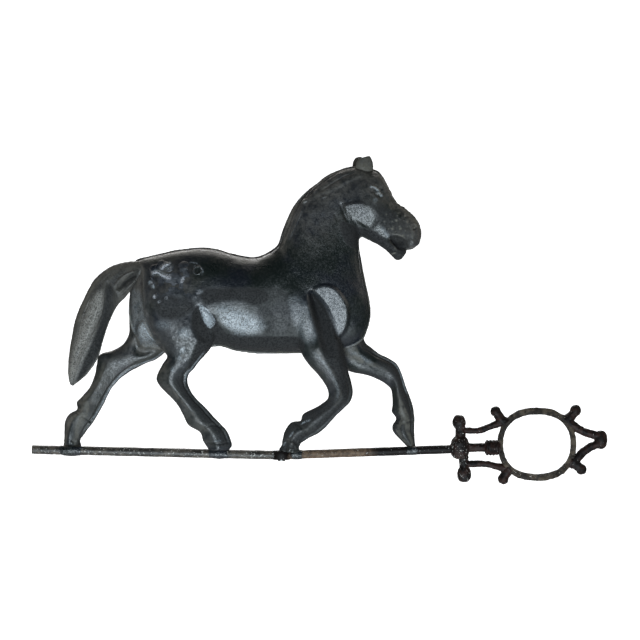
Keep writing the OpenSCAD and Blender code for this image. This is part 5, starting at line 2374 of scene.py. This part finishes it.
@dataclass
class Weathervane:
    """The whole vane: makes every piece and hands it to the frame."""

    horse: Horse = field(default_factory=Horse)
    repair: Repair = field(default_factory=Repair)
    bars: Bars = field(default_factory=Bars)
    arrow: Arrow = field(default_factory=Arrow)

    def dress_horse(self) -> None:
        """Makes the horse and its repair."""
        horse = self.horse
        paint = BlackPaint().build()
        # Its pale grey is the colour of painted highlights on the tail
        tail_paint = BlackPaint(
            "dull grey-black paint", (0.014, 0.0145, 0.015), (0.016, 0.0155, 0.0145),
            film=(0.062, 0.058, 0.05), bare=(0.27, 0.26, 0.24), rough=0.42, grain=0.55,
        ).build()
        ear_paint = BlackPaint(
            "olive dust on grey-black paint", (0.014, 0.0135, 0.0115), (0.02, 0.019, 0.015),
            film=(0.055, 0.051, 0.04), rough=0.55,
        ).build()
        # Its pale blue-grey is the colour of painted highlights on the repair and the braze
        solder = BlackPaint(
            "black paint over solder", film=(0.07, 0.075, 0.085), bare=(0.36, 0.37, 0.4),
            rough=0.27, grain=0.4,
        ).build()
        lumps = lump_tool()
        clay = horse.form()
        masks = MaskSource(clay, horse.masks(clay))
        patch, plug = self.repair.patch(clay, lumps, solder), self.repair.plug(clay)
        rest = clay.obj
        pieces = horse.cut_legs(rest)
        for node, low, high in (("right_body_half", -90, 0), ("left_body_half", 0, 90)):
            half = block((-400, low, -60), (400, high, 400))
            pieces[node] = carve(linked(node, rest.data.copy()), half, Cut.KEEP)
        drop(rest)
        for node, obj in pieces.items():
            masks.give(obj)
            attach(shade(obj), "vane", paint, node)
        for node, made, slot, material in (
            ("tail", horse.tail_piece(), "tail_paint", tail_paint),
            ("right_ear", horse.ear_piece(horse.right_ear, "right_ear"), "tail_paint", ear_paint),
            ("left_ear", horse.ear_piece(horse.left_ear, "left_ear"), "tail_paint", ear_paint),
            ("rump_patch", patch, "solder_paint", solder),
            ("rump_plug", plug, "solder_paint", solder),
            ("hoof_brazing", self.bars.braze(lumps, solder), "solder_paint", solder),
        ):
            for name, values in horse.masks(made).items():
                write_mask(made.obj, name, values)
            attach(shade(made.obj), "vane", material, node)

    def dress_bars(self) -> None:
        """Makes the bars and gives the pivot its metals."""
        black = CastIron(
            "black painted bar", (0.015, 0.013, 0.011), (0.06, 0.05, 0.04),
            rough=0.44, shine=0.42, bright=0.61,
        ).build()
        attach(shade(self.bars.rear()), "vane", black, "rear_bar")
        attach(shade(self.bars.front()), "vane", BrownBar().build(), "front_bar")
        steel = TurnedMetal().build()
        bronze = TurnedMetal("turned bronze", (0.42, 0.27, 0.12), (0.12, 0.07, 0.03), 0.36).build()
        for node, metal in (("swivel_stem", steel), ("thrust_ball", steel), ("pivot_bush", bronze)):
            obj = bpy.data.objects[node]
            obj.data.materials.clear()
            obj.data.materials.append(metal)

    def dress_arrow(self) -> None:
        """Makes the arrow's castings."""
        iron = CastIron().build()
        pitted = CastIron("pitted iron with grey specks", bright=0.62, shine=0.18, pits=0.7).build()
        olive = CastIron(
            "olive weathered iron", (0.011, 0.008, 0.0056), (0.055, 0.042, 0.029),
            (0.3, 0.27, 0.2), rough=0.55,
        ).build()
        sweep, ribs = sweep_tool(), ring_row_tool()
        arrow = self.arrow
        for node, obj, material in (
            ("centre_shaft", arrow.shaft(), iron),
            ("ribbed_collar", arrow.collar(ribs, iron), iron),
            ("upper_scroll_arm", arrow.upper_arm(), iron),
            ("lower_scroll_arm", arrow.lower_arm(), iron),
            ("arrow_tip", arrow.point(), iron),
            ("arrow_hub", arrow.boss(), pitted),
            ("hub_pin", arrow.pin(), pitted),
        ):
            attach(shade(obj), "vane", material, node)
        h = arrow.depth / 2
        half = ((0.4, 1), (0.7, 1), (0.88, 0.97), (0.97, 0.8), (1, 0.45))
        outer = [(share, -h * part) for share, part in half]
        outer += [(share, h * part) for share, part in reversed(half)]
        low, g = h - 0.6, arrow.groove / 2
        inner = ((0, -low), (0.4, -low), (0.4, low), (0, low))
        inner += ((0, g), (0.22, g), (0.22, -g), (0, -g))
        for node, section, seed in (("glazing_ring", outer, 91), ("pane_channel", inner, 94)):
            band = arrow.band(node, sweep, section, seed, olive)
            attach(shade(band, 40), "vane", olive, node)


def main() -> None:
    """Loads the frame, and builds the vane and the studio."""
    logging.basicConfig(level=logging.INFO, format="%(name)s %(message)s")
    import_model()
    studio = Studio()
    studio.camera()
    vane = Weathervane()
    vane.dress_horse()
    vane.dress_bars()
    vane.dress_arrow()
    studio.sweep()
    studio.lights()
    bpy.context.scene.view_settings.view_transform = "Standard"


if __name__ == "__main__":
    main()
